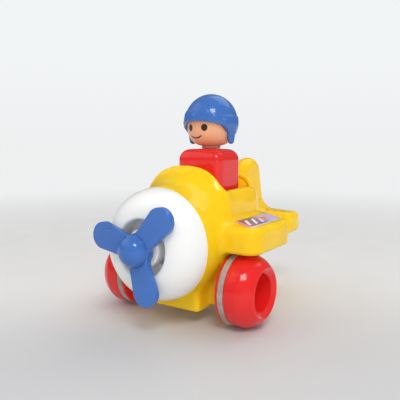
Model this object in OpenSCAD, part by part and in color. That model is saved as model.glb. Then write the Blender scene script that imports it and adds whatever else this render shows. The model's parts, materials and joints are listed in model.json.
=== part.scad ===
// Push-and-go toy airplane with a pilot that is pressed down to wind it up.
// Millimetres, +Z up, nose towards -Y, resting on its wheels at Z = 0.
// A rack under the pilot turns the gears, the flywheel, the front wheels
// and the propeller.

/* [Front wheels] */
// Radius of a front wheel, which is also the height of its axle
wheel_r = 23; // [20:0.5:28]
// Distance from the middle of the toy to the inner face of a wheel
wheel_in = 36; // [35.8:0.1:44]
// Width of a wheel from its inner face to its outer lip
wheel_w = 23.6; // [20:0.2:30]
// Width of the flange inside the grey band
flange_w = 1.9; // [1:0.1:4]
// Width of the grey band
band_w = 4; // [2:0.1:6]
// Depth of the seat of the band
band_t = 2.2; // [1:0.1:3]
// Length of the rounded shoulder of a wheel
shoulder = 10.1; // [8:0.1:11]
// Radius of the outer lip of a wheel
lip_r = 15.6; // [13:0.1:16]
// Radius of the round recess in a wheel
recess_r = 11.7; // [8:0.1:12]
// Depth of the round recess
recess_depth = 15.6; // [8:0.1:17]
// Radius of the front axle
axle_r = 2; // [1.5:0.1:2.4]

/* [Fuselage] */
// Height of the fuselage axis above the front axle
nose_rise = 29; // [27.5:0.1:31]
// Radius of the fuselage behind the nose cowl
nose_r = 35.6; // [34:0.1:38]
// Distance from the axle forwards to the cowl joint
cowl_joint = 28; // [27:0.1:30]
// Extra height of the arch in front of the cockpit
arch_rise = 12.4; // [8:0.1:15]
// Half the width of the cockpit tub
tub_half = 31; // [29:0.1:33]
// Height of the cockpit rim above the fuselage axis
rim_rise = 32; // [28:0.1:34]
// Length of the cockpit opening
cockpit_len = 50; // [49:0.1:54]
// Height of the rear arch above the fuselage axis
rear_rise = 42.5; // [38:0.1:46]
// Distance from the front axle back to the end of the tail
tail_reach = 109; // [104:0.5:118]
// Thickness of the body shells
wall = 2.2; // [1.6:0.1:3]
// Height of the joint between the shells below the fuselage axis
joint_drop = 6.5; // [5:0.1:8]

/* [Chin and axle fairings] */
// Half the width of the chin
chin_half = 22; // [20:0.1:24]
// Distance from the axle forwards to the front of the chin
chin_front = 18.6; // [17:0.1:22]
// Distance from the axle back to the rear of the chin
chin_rear = 26; // [20:0.5:32]
// Depth of the chin below the axle
chin_drop = 14; // [12.4:0.1:15]
// Half the length of an axle fairing
fairing_half = 7; // [6:0.1:9]

/* [Nose cowl] */
// Length of the cowl
cowl_len = 19; // [16:0.1:22]
// Radius of the cowl at its joint
cowl_r = 35.3; // [34:0.1:36]
// Radius of the mouth
mouth_r = 17.5; // [16.5:0.1:20]
// Depth of the recess behind the mouth
cowl_recess = 10; // [6:0.1:11]
// Radius of the centre boss
boss_r = 12; // [11:0.1:14]
// Height of the centre boss
boss_len = 8.5; // [5:0.1:9]

/* [Propeller] */
// Radius of the propeller
prop_r = 34; // [30:0.2:36]
// Number of blades
blades = 3; // [2:1:4]
// Width of a blade
blade_w = 16.8; // [12:0.1:18]
// Thickness of a blade
blade_t = 5; // [3:0.1:5]
// Pitch of a blade in degrees
blade_pitch = 1; // [0:1:24]
// Angle of the first blade in degrees
blade_turn = 45.4; // [0:0.5:119]
// Radius of the hub
hub_r = 9.9; // [9:0.1:11]
// Length of the straight part of the hub
hub_len = 6.2; // [6:0.1:9]
// Length of the domed cap
cap_len = 9.2; // [6:0.1:10.5]
// Radius of the propeller shaft
prop_shaft_r = 1.5; // [1:0.1:1.8]

/* [Wings and tail] */
// Distance from the middle of the toy to a wing tip
wing_half = 59.5; // [56:0.1:64]
// Thickness of a wing
wing_t = 16.7; // [12:0.1:18]
// Gap between the front wheel and the wing above it
wing_gap = 1.5; // [1:0.1:4]
// Distance from the axle forwards to the leading edge
wing_front = 13.5; // [10:0.1:18]
// Distance from the axle back to the rear corner of the tip
tip_rear = 34; // [26:0.1:40]
// Distance from the axle back to the rear corner of the root
root_rear = 60; // [54:0.1:66]
// Half the span of the tailplane
tailplane_half = 38; // [36:0.1:46]
// Chord of the tailplane
tailplane_chord = 23; // [18:0.1:28]
// Thickness of the tailplane
tailplane_t = 18.5; // [12:0.1:20]
// How much thinner the tailplane is at its tips
tailplane_taper = 2; // [0:0.1:6]
// Height of the top of the tailplane above the fuselage axis
tailplane_rise = 10; // [7:0.1:12]
// Height of the fin above the fuselage axis
fin_rise = 51.3; // [44:0.1:56]
// Half the thickness of the fin
fin_half = 7; // [5:0.1:8]
// Thickness of a wing sticker
label_t = 0.3; // [0.2:0.1:0.6]

/* [Tail wheel] */
// Distance from the front axle back to the tail wheel
wheelbase = 75; // [70:0.5:80]
// Radius of the tail wheel
tail_wheel_r = 9.5; // [8:0.1:11]
// Width of the tail wheel
tail_wheel_w = 9; // [7:0.1:11]
// Radius of the tail wheel pin
tail_pin_r = 1.5; // [1.2:0.1:2]

/* [Pilot] */
// Half the width of the torso
torso_half = 17.6; // [15:0.1:17.6]
// Distance from the axle back to the front of the torso
torso_front = 13.6; // [13.4:0.1:14]
// Depth of the torso from front to back
torso_depth = 31.6; // [29:0.1:31.8]
// Height of the torso above the cockpit floor
torso_rise = 40.8; // [36:0.1:44]
// Radius of the torso's upright edges
torso_corner = 6; // [3:0.1:6.4]
// Radius of the torso's top edges
torso_edge = 7; // [3:0.1:7]
// How far the middle of the torso's top is above its edges
torso_crown = 1.6; // [0.5:0.1:3]
// How far the pilot can be pressed down
press_travel = 19; // [14:0.1:19]
// Radius of the helmet
helmet_r = 19.4; // [18:0.1:21]
// Thickness of the helmet
helmet_t = 2.2; // [1.4:0.1:3]
// Radius of a goggle glass
goggle_r = 5.9; // [4:0.1:6.5]
// Distance of a goggle glass from the middle
goggle_x = 6.2; // [5:0.1:8]
// Thickness of an ear flap
flap_t = 2.7; // [2:0.1:3.2]
// Turn of the head at rest, in degrees
face_turn = -5; // [-45:1:45]
// Length of the neck that shows
neck_len = 1.2; // [1:0.1:4]
// Radius of the neck
neck_r = 6.5; // [4.5:0.1:7]
// How far the head sits behind the middle of the torso
head_back = 3; // [0:0.1:4]

/* [Gears] */
// Gear module
mod = 1; // [0.9:0.05:1]
// Teeth of the gear on the axle
axle_teeth = 18; // [16:1:20]
// Teeth of the drive gear
drive_teeth = 24; // [22:1:25]
// Teeth of the flywheel pinion
fly_teeth = 10; // [9:1:12]
// Teeth of the rack pinion
rack_teeth = 14; // [14:1:15]
// Teeth of the crown gear
crown_teeth = 12; // [12:1:14]
// Teeth of the propeller pinion
prop_teeth = 8; // [8:1:10]
// Width of the spur gears
gear_w = 4; // [3:0.1:4.4]
// Radius of the flywheel
flywheel_r = 13; // [10:0.1:14]
// Thickness of the flywheel
flywheel_t = 5; // [3:0.1:6]
// Thickness of the gearbox plates
plate_t = 1.5; // [1:0.1:2]
// Half the distance between the gearbox plates
plate_half = 14; // [13.8:0.1:14.4]
// Radius of the drive arbor
drive_arbor_r = 1.5; // [1.2:0.1:1.8]
// Radius of the flywheel arbor
fly_arbor_r = 1.25; // [1:0.05:1.5]

/* [Return spring] */
// Mean radius of the spring
spring_r = 7.4; // [6.6:0.1:8]
// Diameter of the spring wire
spring_wire = 1.2; // [0.8:0.1:1.4]
// Number of curls
spring_curls = 9; // [7:1:11]

/* [Fits] */
// Radial clearance of a turning shaft
run_fit = 0.06; // [0.03:0.01:0.1]
// Clearance beside the sliding pilot
slide_fit = 0.4; // [0.3:0.05:0.6]
// Gap between moving faces
face_gap = 0.5; // [0.3:0.05:0.8]
// Play between gear teeth
tooth_play = 0.3; // [0.2:0.02:0.4]

/* [Hidden] */
$fn = 64;
// Longer than the whole toy, for cuts that go right through
far = 400;
yellow = [0.97, 0.76, 0.05];
white = [0.94, 0.93, 0.9];
blue = [0.2, 0.35, 0.68];
red = [0.82, 0.09, 0.12];
grey = [0.62, 0.62, 0.6];
steel = [0.7, 0.71, 0.73];
violet = [0.45, 0.35, 0.6];
cream = [0.87, 0.84, 0.76];
skin = [0.86, 0.6, 0.44];
brown = [0.45, 0.26, 0.16];

// Heights
axle_z = wheel_r;
nose_z = axle_z + nose_rise;
rim_z = nose_z + rim_rise;
joint_z = nose_z - joint_drop;
chin_z = axle_z - chin_drop;
wing_z = axle_z + wheel_r + wing_gap;
floor_t = 2;
floor_z = nose_z + 16;

// Lengths along Y, counted from the front axle
cowl_y = -cowl_joint;
mouth_y = cowl_y - cowl_len;
recess_y = mouth_y + cowl_recess;
boss_y = recess_y - boss_len;
hub_y = boss_y - face_gap;
cap_y = hub_y - hub_len;
nose_tip = cap_y - cap_len;
base_front = torso_front - 1.4;
base_rear = torso_front + torso_depth + 2.6;
torso_y = torso_front + torso_depth / 2;

// The origin is below the middle of the whole length
origin_y = (nose_tip + tail_reach) / 2;

// Gear centres and phases. Angles go from +Y towards +Z.
drive_y = -3.5;
drive_c = mod * (axle_teeth + drive_teeth) / 2;
drive_z = axle_z + sqrt(drive_c * drive_c - drive_y * drive_y);
fly_c = mod * (drive_teeth + fly_teeth) / 2;
fly_z = nose_z;
fly_y = drive_y - sqrt(fly_c * fly_c - pow(fly_z - drive_z, 2));
crown_pitch_r = mod * crown_teeth / 2;
prop_pitch_r = mod * prop_teeth / 2;
rack_y = drive_y + mod * rack_teeth / 2;
up_angle = atan2(drive_z - axle_z, drive_y);
fly_angle = atan2(fly_z - drive_z, fly_y - drive_y);
axle_phase = 0;
drive_phase = up_angle + 180 + 180 / drive_teeth
  - (axle_phase - up_angle) * axle_teeth / drive_teeth;
fly_phase = fly_angle + 180 + 180 / fly_teeth
  - (drive_phase - fly_angle) * drive_teeth / fly_teeth;
addendum = 0.8 * mod;
dedendum = 1.05 * mod;
pressure = 25;

// Places across the gearbox
gear_x = 8;
rack_x = -12.5;
rack_w = 4.5;
clutch_x = rack_x + rack_w + face_gap;
plate_out = plate_half + plate_t;
fly_x = -plate_out - 1.5 - flywheel_t;

// The pilot's plunger
base_t = 3.7;
base_top = floor_z - 0.3;
base_half = torso_half + 2;
spring_low = base_top - base_t - 38;
spring_pad = 2;
peg_len = 4;
torso_top = floor_z + floor_t + torso_rise;
chin_of_head = torso_top + neck_len;
head_r = helmet_r - helmet_t - 0.3;
head_y = torso_y + head_back;
head_z = chin_of_head + head_r;

// Moves a shape from axle coordinates to the origin of the part
module placed() {
  translate([0, -origin_y, 0]) children();
}

// Turns a shape that was drawn along Z so that it runs along X,
// with its own X towards +Y and its own Y towards +Z
module along_x(x, y, z) {
  translate([x, y, z]) rotate([90, 0, 90]) children();
}

// The same for a shape that runs forwards along -Y
module along_nose(y, z) {
  translate([0, y, z]) rotate([90, 0, 0]) children();
}

function total(v) = [for (i = v) 1] * v;

// Solid through a list of rings that have the same number of points. The
// faces are turned to point outwards, whichever way round the rings run.
module loft(rings) {
  n = len(rings[0]);
  m = len(rings);
  points = [for (r = rings) each r];
  around = total([for (i = [0:n - 1])
    cross(rings[0][i] - rings[0][0], rings[0][(i + 1) % n] - rings[0][0])]);
  along = (total(rings[1]) - total(rings[0])) / n;
  flip = around * along > 0;
  sides = [for (j = [0:m - 2]) for (i = [0:n - 1])
    let (a = j * n + i, b = j * n + (i + 1) % n, c = b + n, d = a + n)
    each flip ? [[c, b, a], [d, c, a]] : [[a, b, c], [a, c, d]]];
  low = [for (i = [0:n - 1]) flip ? i : n - 1 - i];
  high = [for (i = [0:n - 1]) (m - 1) * n + (flip ? n - 1 - i : i)];
  polyhedron(points, concat(sides, [low], [high]));
}

function signed_pow(v, p) = sign(v) * pow(abs(v), p);

// Half width, top and bottom of the fuselage, each against the distance
// from the front axle. Heights are counted from the fuselage axis.
widths = [[-cowl_joint, nose_r], [-2, nose_r + 0.2], [0, nose_r - 0.8],
  [2, (nose_r + tub_half) / 2 - 0.4], [5, tub_half + 0.2], [8, tub_half],
  [cockpit_len - 8, tub_half], [cockpit_len - 3, tub_half - 0.5],
  [cockpit_len + 1, tub_half - 1.8], [cockpit_len + 5, tub_half - 4.2],
  [cockpit_len + 10, tub_half - 8], [cockpit_len + 16, tub_half - 12],
  [cockpit_len + 24, tub_half - 15.5], [cockpit_len + 34, tub_half - 18],
  [tail_reach - 14, tub_half - 19.5], [tail_reach - 6, tub_half - 21]];
rises = [[cockpit_len, rear_rise], [cockpit_len + 5, rear_rise - 1.2],
  [cockpit_len + 10, rear_rise - 4.2], [cockpit_len + 16, rear_rise - 10],
  [cockpit_len + 24, rear_rise - 18], [cockpit_len + 34, rear_rise - 25],
  [tail_reach - 14, rear_rise - 29.5], [tail_reach - 6, rear_rise - 32]];
drops = [[-cowl_joint, nose_r], [5, nose_r], [cockpit_len - 12, nose_r - 0.5],
  [cockpit_len, nose_r - 2], [cockpit_len + 14, nose_r - 7],
  [cockpit_len + 24, nose_r - 12], [cockpit_len + 34, nose_r - 19],
  [tail_reach - 14, nose_r - 26], [tail_reach - 6, nose_r - 30]];
// Squareness of the section, 2 is round
squares = [[-cowl_joint, 2], [-4, 2], [5, 3], [cockpit_len, 3],
  [cockpit_len + 20, 2.3], [tail_reach, 2]];

function arch_up(y) = y >= cockpit_len ? lookup(y, rises)
  : y >= 0 ? nose_r + arch_rise
      + (rear_rise - nose_r - arch_rise) * y / cockpit_len
  : nose_r + arch_rise * pow(max(0, 1 + y / cowl_joint), 2.4);

// One ring of the fuselage, drawn in by the given inset
function body_ring(y, inset) =
  let (w = lookup(y, widths) - inset, p = lookup(y, squares),
    top = arch_up(y) - inset, low = lookup(y, drops) - inset,
    up_c = max(0.5, min(arch_rise + 0.5, top + inset - nose_r)),
    low_c = y < 0 ? 0 : min(4, low / 3) * min(1, y / 5))
  concat(
    [for (a = [0:9:180]) [w * signed_pow(cos(a), 2 / p), y,
      nose_z + up_c + (top - up_c) * signed_pow(sin(a), 2 / p)]],
    [for (a = [180:9:360]) [w * signed_pow(cos(a), 2 / p), y,
      nose_z - low_c + (low - low_c) * signed_pow(sin(a), 2 / p)]]);

stations = [-cowl_joint, -22, -16, -10, -6, -2, 0, 2, 5, 8, 20, 32,
  cockpit_len - 8, cockpit_len - 3, cockpit_len + 1, cockpit_len + 5,
  cockpit_len + 10, cockpit_len + 16, cockpit_len + 24,
  cockpit_len + 34, tail_reach - 14, tail_reach - 6];

module fuselage(inset, front, rear) {
  loft([for (y = stations) body_ring(
    y == stations[0] ? y - front
    : y == stations[len(stations) - 1] ? y - rear : y, inset)]);
}

// Rectangle with rounded corners in the YZ plane at x
function block_ring(x, y0, y1, z0, z1, round) = [for (c = [0:3])
  let (r = min(round, (z1 - z0) / 2 - 0.05), cy = c == 0 || c == 3 ? y1 - r : y0 + r,
    cz = c < 2 ? z1 - r : z0 + r)
  for (a = [0:22.5:90]) [x, cy + r * cos(90 * c + a),
    cz + r * sin(90 * c + a)]];

// Depth of a rounded end of radius r at distance d from the end
function round_in(d, r) = d >= r ? 0 : r - sqrt(max(0, r * r - pow(r - d, 2)));

// Left wing, drawn in by the given inset. Its front corner is round.
module wing(inset, root) {
  r = 4.5;
  tip = wing_half - inset;
  loft([for (x = [root, tip - 18, tip - 10, tip - 7, tip - 4.5, tip - 3,
      tip - 1.8, tip - 0.8, tip])
    let (d = tip - x, e = round_in(d, r),
      slant = (root_rear - tip_rear) / (wing_half - tub_half),
      front = -wing_front + inset + round_in(d, 10),
      rear = tip_rear - inset + slant * min(d, wing_half - tub_half) - e)
    block_ring(x, front, rear, wing_z + inset + e,
      wing_z + wing_t - inset - e, max(0.6, r - inset / 2))]);
}

module tailplane(inset) {
  r = 5.2;
  half = tailplane_half - inset;
  front = tail_reach - tailplane_chord;
  top = nose_z + tailplane_rise;
  loft([for (x = concat([for (d = [0, 0.6, 1.8, 3.4, r]) -half + d],
      [for (d = [r, 3.4, 1.8, 0.6, 0]) half - d]))
    let (e = round_in(half - abs(x), r))
    block_ring(x, front + inset + e, tail_reach - inset - e,
      top - tailplane_t + inset + e * 0.9,
      top - tailplane_taper * abs(x) / tailplane_half - inset - e * 0.9,
      max(0.6, r - inset))]);
}

// Fin as a stack of ovals from the deck to its round top
module fin() {
  base = nose_z + 6;
  top = nose_z + fin_rise;
  outline = [[0, 44, 109], [0.12, 46, 109], [0.3, 49, 108],
    [0.48, 53, 105.8], [0.65, 59, 103.8], [0.8, 65, 101.8],
    [0.9, 71, 98.2], [0.96, 76, 95], [1, 82.5, 90]];
  shift = tail_reach - 109;
  loft([for (s = outline)
    let (z = base + (top - base) * s[0], cy = (s[1] + s[2]) / 2 + shift,
      half_y = (s[2] - s[1]) / 2,
      half_x = fin_half * (s[0] < 0.6 ? 1
        : sqrt(max(0.02, 1 - pow((s[0] - 0.6) / 0.4, 2.6)))))
    [for (a = [0:12:348]) [half_x * signed_pow(cos(a), 0.75),
      cy + half_y * signed_pow(sin(a), 0.75), z]]]);
}

module body_outside() {
  fuselage(0, 0, 0);
  wing(0, tub_half - 6);
  mirror([1, 0, 0]) wing(0, tub_half - 6);
  tailplane(0);
  fin();
}

module body_inside() {
  fuselage(wall, 4, 2);
  wing(wall, tub_half - 8);
  mirror([1, 0, 0]) wing(wall, tub_half - 8);
}

// Side outline of the cockpit opening, with round lower corners
module cockpit_cut() {
  r = 5;
  along_x(-60, 0, rim_z) linear_extrude(120) union() {
    translate([r, 0]) square([cockpit_len - 2 * r, 60]);
    translate([0, r]) square([cockpit_len, 60]);
    translate([r, r]) circle(r);
    translate([cockpit_len - r, r]) circle(r);
  }
}

screw_x = [tub_half - 5.6, 15.5];
screw_y = [20, 62];
screw_r = 1.3;
boss_out = 3.3;
boss_up = wing_z + wing_t + 2 - joint_z;

module at_body_screws() {
  for (i = [0, 1]) for (s = [-1, 1])
    translate([s * screw_x[i], screw_y[i], joint_z]) children();
}

module upper_body() color(yellow) placed() difference() {
  union() {
    intersection() {
      difference() {
        body_outside();
        body_inside();
      }
      translate([-far / 2, -far / 2, joint_z]) cube(far);
    }
    at_body_screws() cylinder(r = boss_out, h = boss_up);
    for (i = [0, 1]) for (s = [0, 1]) mirror([s, 0, 0])
      translate([screw_x[i] + screw_r + 0.4, screw_y[i] - 1.5, joint_z])
        cube([lookup(screw_y[i], widths) - wall / 2 - screw_x[i] - screw_r
          - 0.4, 3, boss_up]);
  }
  cockpit_cut();
  at_body_screws() translate([0, 0, -1]) cylinder(r = screw_r, h = 11);
}

// Wedge between the chin and a front wheel, seen from the front
module fairing() {
  translate([0, fairing_half, 0]) rotate([90, 0, 0])
    linear_extrude(2 * fairing_half)
    polygon([[chin_half - 3, chin_z + 2.5], [wheel_in - 4, chin_z + 2.5],
      [wheel_in - 0.6, chin_z + 6], [wheel_in - 0.6, axle_z + 16],
      [tub_half - 1, axle_z + 21], [chin_half - 3, axle_z + 21]]);
}

module chin(inset, up) {
  h = up - chin_z - inset;
  r = 3 - inset;
  translate([0, 0, chin_z + inset]) linear_extrude(h) union() {
    translate([-chin_half + inset + r, -chin_front + inset])
      square([2 * (chin_half - inset - r), chin_front + chin_rear - 2 * inset]);
    translate([-chin_half + inset, -chin_front + inset + r])
      square([2 * (chin_half - inset),
        chin_front + chin_rear - 2 * inset - 2 * r]);
    for (s = [-1, 1]) for (y = [-chin_front + inset + r,
        chin_rear - inset - r])
      translate([s * (chin_half - inset - r), y]) circle(r, $fn = 32);
  }
}

fork_in = tail_wheel_w / 2 + 0.7;
fork_t = 3;

module fork() {
  for (s = [-1, 1]) translate([s > 0 ? fork_in : -fork_in - fork_t, 0, 0]) {
    along_x(0, wheelbase, tail_wheel_r) cylinder(r = 4.5, h = fork_t);
    translate([0, wheelbase - 4.5, tail_wheel_r]) cube([fork_t, 9,
      nose_z - nose_r + 21 - tail_wheel_r]);
  }
}

module lower_body() color(yellow) placed() difference() {
  union() {
    difference() {
      union() {
        intersection() {
          fuselage(0, 0, 0);
          translate([-far / 2, -far / 2, joint_z - far]) cube(far);
        }
        chin(0, axle_z + 8);
        fairing();
        mirror([1, 0, 0]) fairing();
      }
      fuselage(wall, 4, 2);
      chin(wall - 0.2, axle_z + 9);
    }
    fork();
    intersection() {
      at_body_screws() translate([0, 0, -30]) cylinder(r = boss_out, h = 30);
      fuselage(0.1, 0, 0);
    }
  }
  along_x(-60, 0, axle_z) cylinder(r = bush_r, h = 120);
  along_x(-20, wheelbase, tail_wheel_r) cylinder(r = tail_pin_r, h = 40);
  at_body_screws() {
    translate([0, 0, -40]) cylinder(r = screw_r + 0.2, h = 41);
    translate([0, 0, -40]) cylinder(r = 2.8, h = 40 - 12);
  }
}

bush_r = axle_r + 2;
bush_len = 6;

module axle_bush(side) {
  x = side > 0 ? wheel_in - 0.6 - bush_len : -wheel_in + 0.6;
  color(grey) placed() along_x(x, 0, axle_z) difference() {
    cylinder(r = bush_r, h = bush_len);
    translate([0, 0, -1]) cylinder(r = axle_r + run_fit, h = bush_len + 2);
  }
}

module axle_bush_left() axle_bush(1);
module axle_bush_right() axle_bush(-1);

// White cowl: a domed ring with a round recess and a raised boss
module nose_cowl() color(white) placed() difference() {
  t = 2.2;
  lip = 1.6;
  along_nose(0, nose_z) rotate_extrude($fn = 96) polygon(concat(
    [[mouth_r, cowl_joint + cowl_len - 2.6]],
    [for (a = [0:15:90]) [mouth_r + lip - lip * cos(a),
      cowl_joint + cowl_len - 1.6 + lip * sin(a)]],
    [for (a = [84:-6:0]) [mouth_r + lip + (cowl_r - mouth_r - lip) * cos(a),
      cowl_joint + cowl_len * sin(a)]],
    [[nose_r - wall - 0.2, cowl_joint], [nose_r - wall - 0.2, cowl_joint - 4],
      [nose_r - wall - 2.4, cowl_joint - 4]],
    [for (a = [0:6:66]) [mouth_r + lip
      + (nose_r - wall - 2.4 - mouth_r - lip) * cos(a),
      cowl_joint + (cowl_len - t) * sin(a)]],
    [[mouth_r + t, cowl_joint + cowl_len - 5],
      [mouth_r + t, cowl_joint + cowl_len - cowl_recess - t],
      [prop_shaft_r + 1.6, cowl_joint + cowl_len - cowl_recess - t],
      [prop_shaft_r + 1.6, cowl_joint + cowl_len - cowl_recess + boss_len],
      [boss_r - 1, cowl_joint + cowl_len - cowl_recess + boss_len],
      [boss_r, cowl_joint + cowl_len - cowl_recess + boss_len - 1],
      [boss_r, cowl_joint + cowl_len - cowl_recess],
      [mouth_r, cowl_joint + cowl_len - cowl_recess]]));
  // Slot in the floor of the recess, beside the boss
  translate([8.6, recess_y - 0.5, nose_z - 12]) cube([3.8, 4, 5.2]);
}

module nose_bush() color(grey) placed() difference() {
  h = boss_len + 4;
  along_nose(boss_y + h, nose_z) difference() {
    cylinder(r = prop_shaft_r + 1.6, h = h);
    translate([0, 0, -1]) cylinder(r = prop_shaft_r + run_fit, h = h + 2);
  }
}

opening_half = torso_half + slide_fit;

// Cockpit floor with its two bulkheads, cut to the inside of the shell
module cockpit_floor() color(yellow) placed() difference() {
  intersection() {
    fuselage(wall + 0.1, 0, 0);
    union() {
      translate([-50, -2, floor_z]) cube([100, cockpit_len + 4, floor_t]);
      translate([-50, -2, floor_z]) cube([100, 2, 60]);
      translate([-50, cockpit_len, floor_z]) cube([100, 2, 60]);
    }
  }
  translate([-opening_half, torso_front - slide_fit, floor_z - 1])
    cube([2 * opening_half, torso_depth + 2 * slide_fit, 4]);
}

well_half = base_half + slide_fit;
well_t = 1.5;

// Well that guides the plunger, with a slot for the rack's bracket. Its
// lower corners are cut to the inside of the shell.
module plunger_guide() color(cream) placed() difference() {
  front = base_front - slide_fit;
  rear = base_rear + slide_fit;
  union() {
    difference() {
      intersection() {
        translate([-well_half - well_t, front - well_t,
          spring_low - spring_pad]) cube([2 * (well_half + well_t),
          rear - front + 2 * well_t, floor_z - spring_low + spring_pad]);
        fuselage(wall + 0.1, 0, 0);
      }
      translate([-well_half, front, spring_low])
        cube([2 * well_half, rear - front, 100]);
    }
    // Post inside the spring, which the flange's peg meets at the end of
    // the pilot's travel
    translate([0, torso_y, spring_low - spring_pad])
      cylinder(r = spring_r - spring_wire / 2 - 0.5, h = spring_pad
        + base_top - base_t - peg_len - press_travel - 0.3 - spring_low);
  }
  translate([rack_x - 0.6, front - well_t - 1, spring_low + 8])
    cube([rack_w + 1.2, well_t + 2, 100]);
}

module gearbox_plate() difference() {
  linear_extrude(plate_t) polygon([[-16, chin_z + wall - 0.2],
    [8.5, chin_z + wall - 0.2], [8.5, drive_z + 8], [-8, fly_z + 7],
    [fly_y - 6, fly_z + 7], [fly_y - 6, fly_z - 12], [-16, axle_z + 8]]);
  translate([0, axle_z, -1]) cylinder(r = axle_r + run_fit, h = 4);
  translate([drive_y, drive_z, -1])
    cylinder(r = drive_arbor_r + run_fit, h = 4);
  translate([fly_y, fly_z, -1]) cylinder(r = fly_arbor_r + run_fit, h = 4);
  for (p = posts) translate([p[0], p[1], -1]) cylinder(r = 1.1, h = 4);
}

posts = [[-13, chin_z + 6], [fly_y - 3.6, fly_z - 10]];

module gearbox_plate_left() color(cream) placed()
  along_x(plate_half, 0, 0) gearbox_plate();

module gearbox_plate_right() color(cream) placed()
  along_x(-plate_out, 0, 0) gearbox_plate();

module gearbox_posts() color(cream) placed() difference() {
  for (p = posts)
    along_x(-plate_half, p[0], p[1]) cylinder(r = 2, h = 2 * plate_half);
  for (p = posts)
    along_x(-plate_half - 1, p[0], p[1]) cylinder(r = 1.1, h = 100);
}

module gearbox_screws() color(steel) placed() for (s = [-1, 1])
  for (p = posts) along_x(s * plate_out, p[0], p[1])
    rotate([s > 0 ? 180 : 0, 0, 0]) {
      translate([0, 0, -1.1]) cylinder(r = 2, h = 1.1);
      cylinder(r = 1.1, h = 9);
    }

module body_screws() color(steel) placed() at_body_screws() {
  translate([0, 0, -12 - 1.8]) cylinder(r = 2.6, h = 1.8);
  translate([0, 0, -12]) cylinder(r = screw_r, h = 20);
}

module tail_wheel_pin() color(steel) placed()
  along_x(-fork_in - fork_t - 0.4, wheelbase, tail_wheel_r)
    cylinder(r = tail_pin_r, h = 2 * (fork_in + fork_t + 0.4));

// Round wire wound upwards with closed end turns
module return_spring() color(steel) placed() {
  steps = 8 * spring_curls;
  height = base_top - base_t - spring_low - spring_wire;
  wire = spring_wire / 2;
  loft([for (i = [0:steps])
    let (a = 45 * i, z = spring_low + wire + height * i / steps,
      climb = atan2(height / spring_curls, 2 * PI * spring_r))
    [for (b = [0:60:300]) let (out = wire * 0.98 * cos(b),
        up = wire * 0.98 * sin(b))
      [(spring_r + out) * cos(a) + up * sin(climb) * sin(a),
        torso_y + (spring_r + out) * sin(a) - up * sin(climb) * cos(a),
        z + up * cos(climb)]]]);
}

// Sticker on the flat part of a wing
module wing_label() color(violet) placed()
  translate([0, 0, wing_z + wing_t]) linear_extrude(label_t)
    polygon([[tub_half + 2.8, 7.6], [wing_half - 7.3, -wing_front + 4.3],
      [wing_half - 9, tip_rear + 1.6], [tub_half + 1.6, root_rear - 7]]);

module wing_label_left() wing_label();
module wing_label_right() mirror([1, 0, 0]) wing_label();

// Red block with rounded edges and a slightly domed top
module pilot_torso() color(red) placed() difference() {
  z0 = base_top;
  r = torso_corner;
  brim = torso_top - torso_crown;
  loft([for (s = concat([[z0, 0]],
      [for (a = [0:15:90]) [brim - torso_edge * (1 - sin(a)),
        torso_edge * (1 - cos(a))]],
      [[torso_top, min(torso_half, torso_depth / 2) - r - 0.3]]))
    [for (c = [0:3])
      let (cx = (c == 0 || c == 3 ? 1 : -1) * (torso_half - s[1] - r),
        cy = (c < 2 ? 1 : -1) * (torso_depth / 2 - s[1] - r))
      for (a = [0:22.5:90]) [cx + r * cos(90 * c + a),
        torso_y + cy + r * sin(90 * c + a), s[0]]]]);
  for (s = [-1, 1]) translate([s * screw_half, torso_y, z0 - 1])
    cylinder(r = 1.2, h = 9);
  translate([0, head_y, torso_top - 8]) cylinder(r = peg_r, h = 10);
  difference() {
    translate([-torso_half + skin_t, torso_front + skin_t, z0 - 1])
      cube([2 * (torso_half - skin_t), torso_depth - 2 * skin_t,
        torso_top - 11 - z0 + 1]);
    for (s = [-1, 1]) translate([s * screw_half, torso_y, z0 - 2])
      cylinder(r = 3.4, h = 100);
  }
}

skin_t = 2.6;
screw_half = torso_half - skin_t - 1.7;

peg_r = 4;

module plunger_base() color(red) placed() difference() {
  union() {
    translate([-base_half, base_front, base_top - base_t])
      cube([2 * base_half, base_rear - base_front, base_t]);
    translate([0, torso_y, base_top - base_t - peg_len])
      cylinder(r = spring_r - spring_wire / 2 - 0.5, h = peg_len + 0.5);
  }
  for (s = [-1, 1]) translate([s * screw_half, torso_y, base_top - base_t - 1])
    cylinder(r = 1.2, h = 9);
}

// Screws that hold the torso on its flange, heads in the flange
module torso_screws() color(steel) placed() for (s = [-1, 1])
  translate([s * screw_half, torso_y, base_top - base_t - 1.2]) {
    cylinder(r = 1.15, h = 9);
    cylinder(r = 2, h = 1.2);
  }

// Rack with its bracket under the flange
module drive_rack() color(cream) placed() {
  low = drive_z - 3.2;
  back = rack_y + dedendum + 2.8;
  pitch = PI * mod;
  top = base_top - 0.9;
  half = pitch / 4 - tooth_play / 2;
  count = floor((top - 3 - drive_z) / pitch);
  along_x(rack_x, 0, 0) linear_extrude(rack_w) polygon(concat(
    [[back, top], [back, low], [rack_y + dedendum, low]],
    [for (k = [-1:count]) let (z = drive_z + (k + 0.5) * pitch)
      each [[rack_y + dedendum, z - half - dedendum * tan(pressure)],
        [rack_y - addendum, z - half + addendum * tan(pressure)],
        [rack_y - addendum, z + half - addendum * tan(pressure)],
        [rack_y + dedendum, z + half + dedendum * tan(pressure)]]],
    [[rack_y + dedendum, top]]));
  translate([rack_x, back, base_top - base_t - 3])
    cube([rack_w, base_front - back + 8, 3]);
  translate([rack_x, back, base_top - base_t - 3])
    cube([rack_w, base_front - back, base_t + 2.1]);
}

module neck_peg() color(brown) placed() translate([0, head_y, torso_top]) {
  translate([0, 0, -8]) cylinder(r = peg_r, h = 8 + neck_len + 9);
  cylinder(r = neck_r, h = neck_len + 1.2);
}

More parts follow.
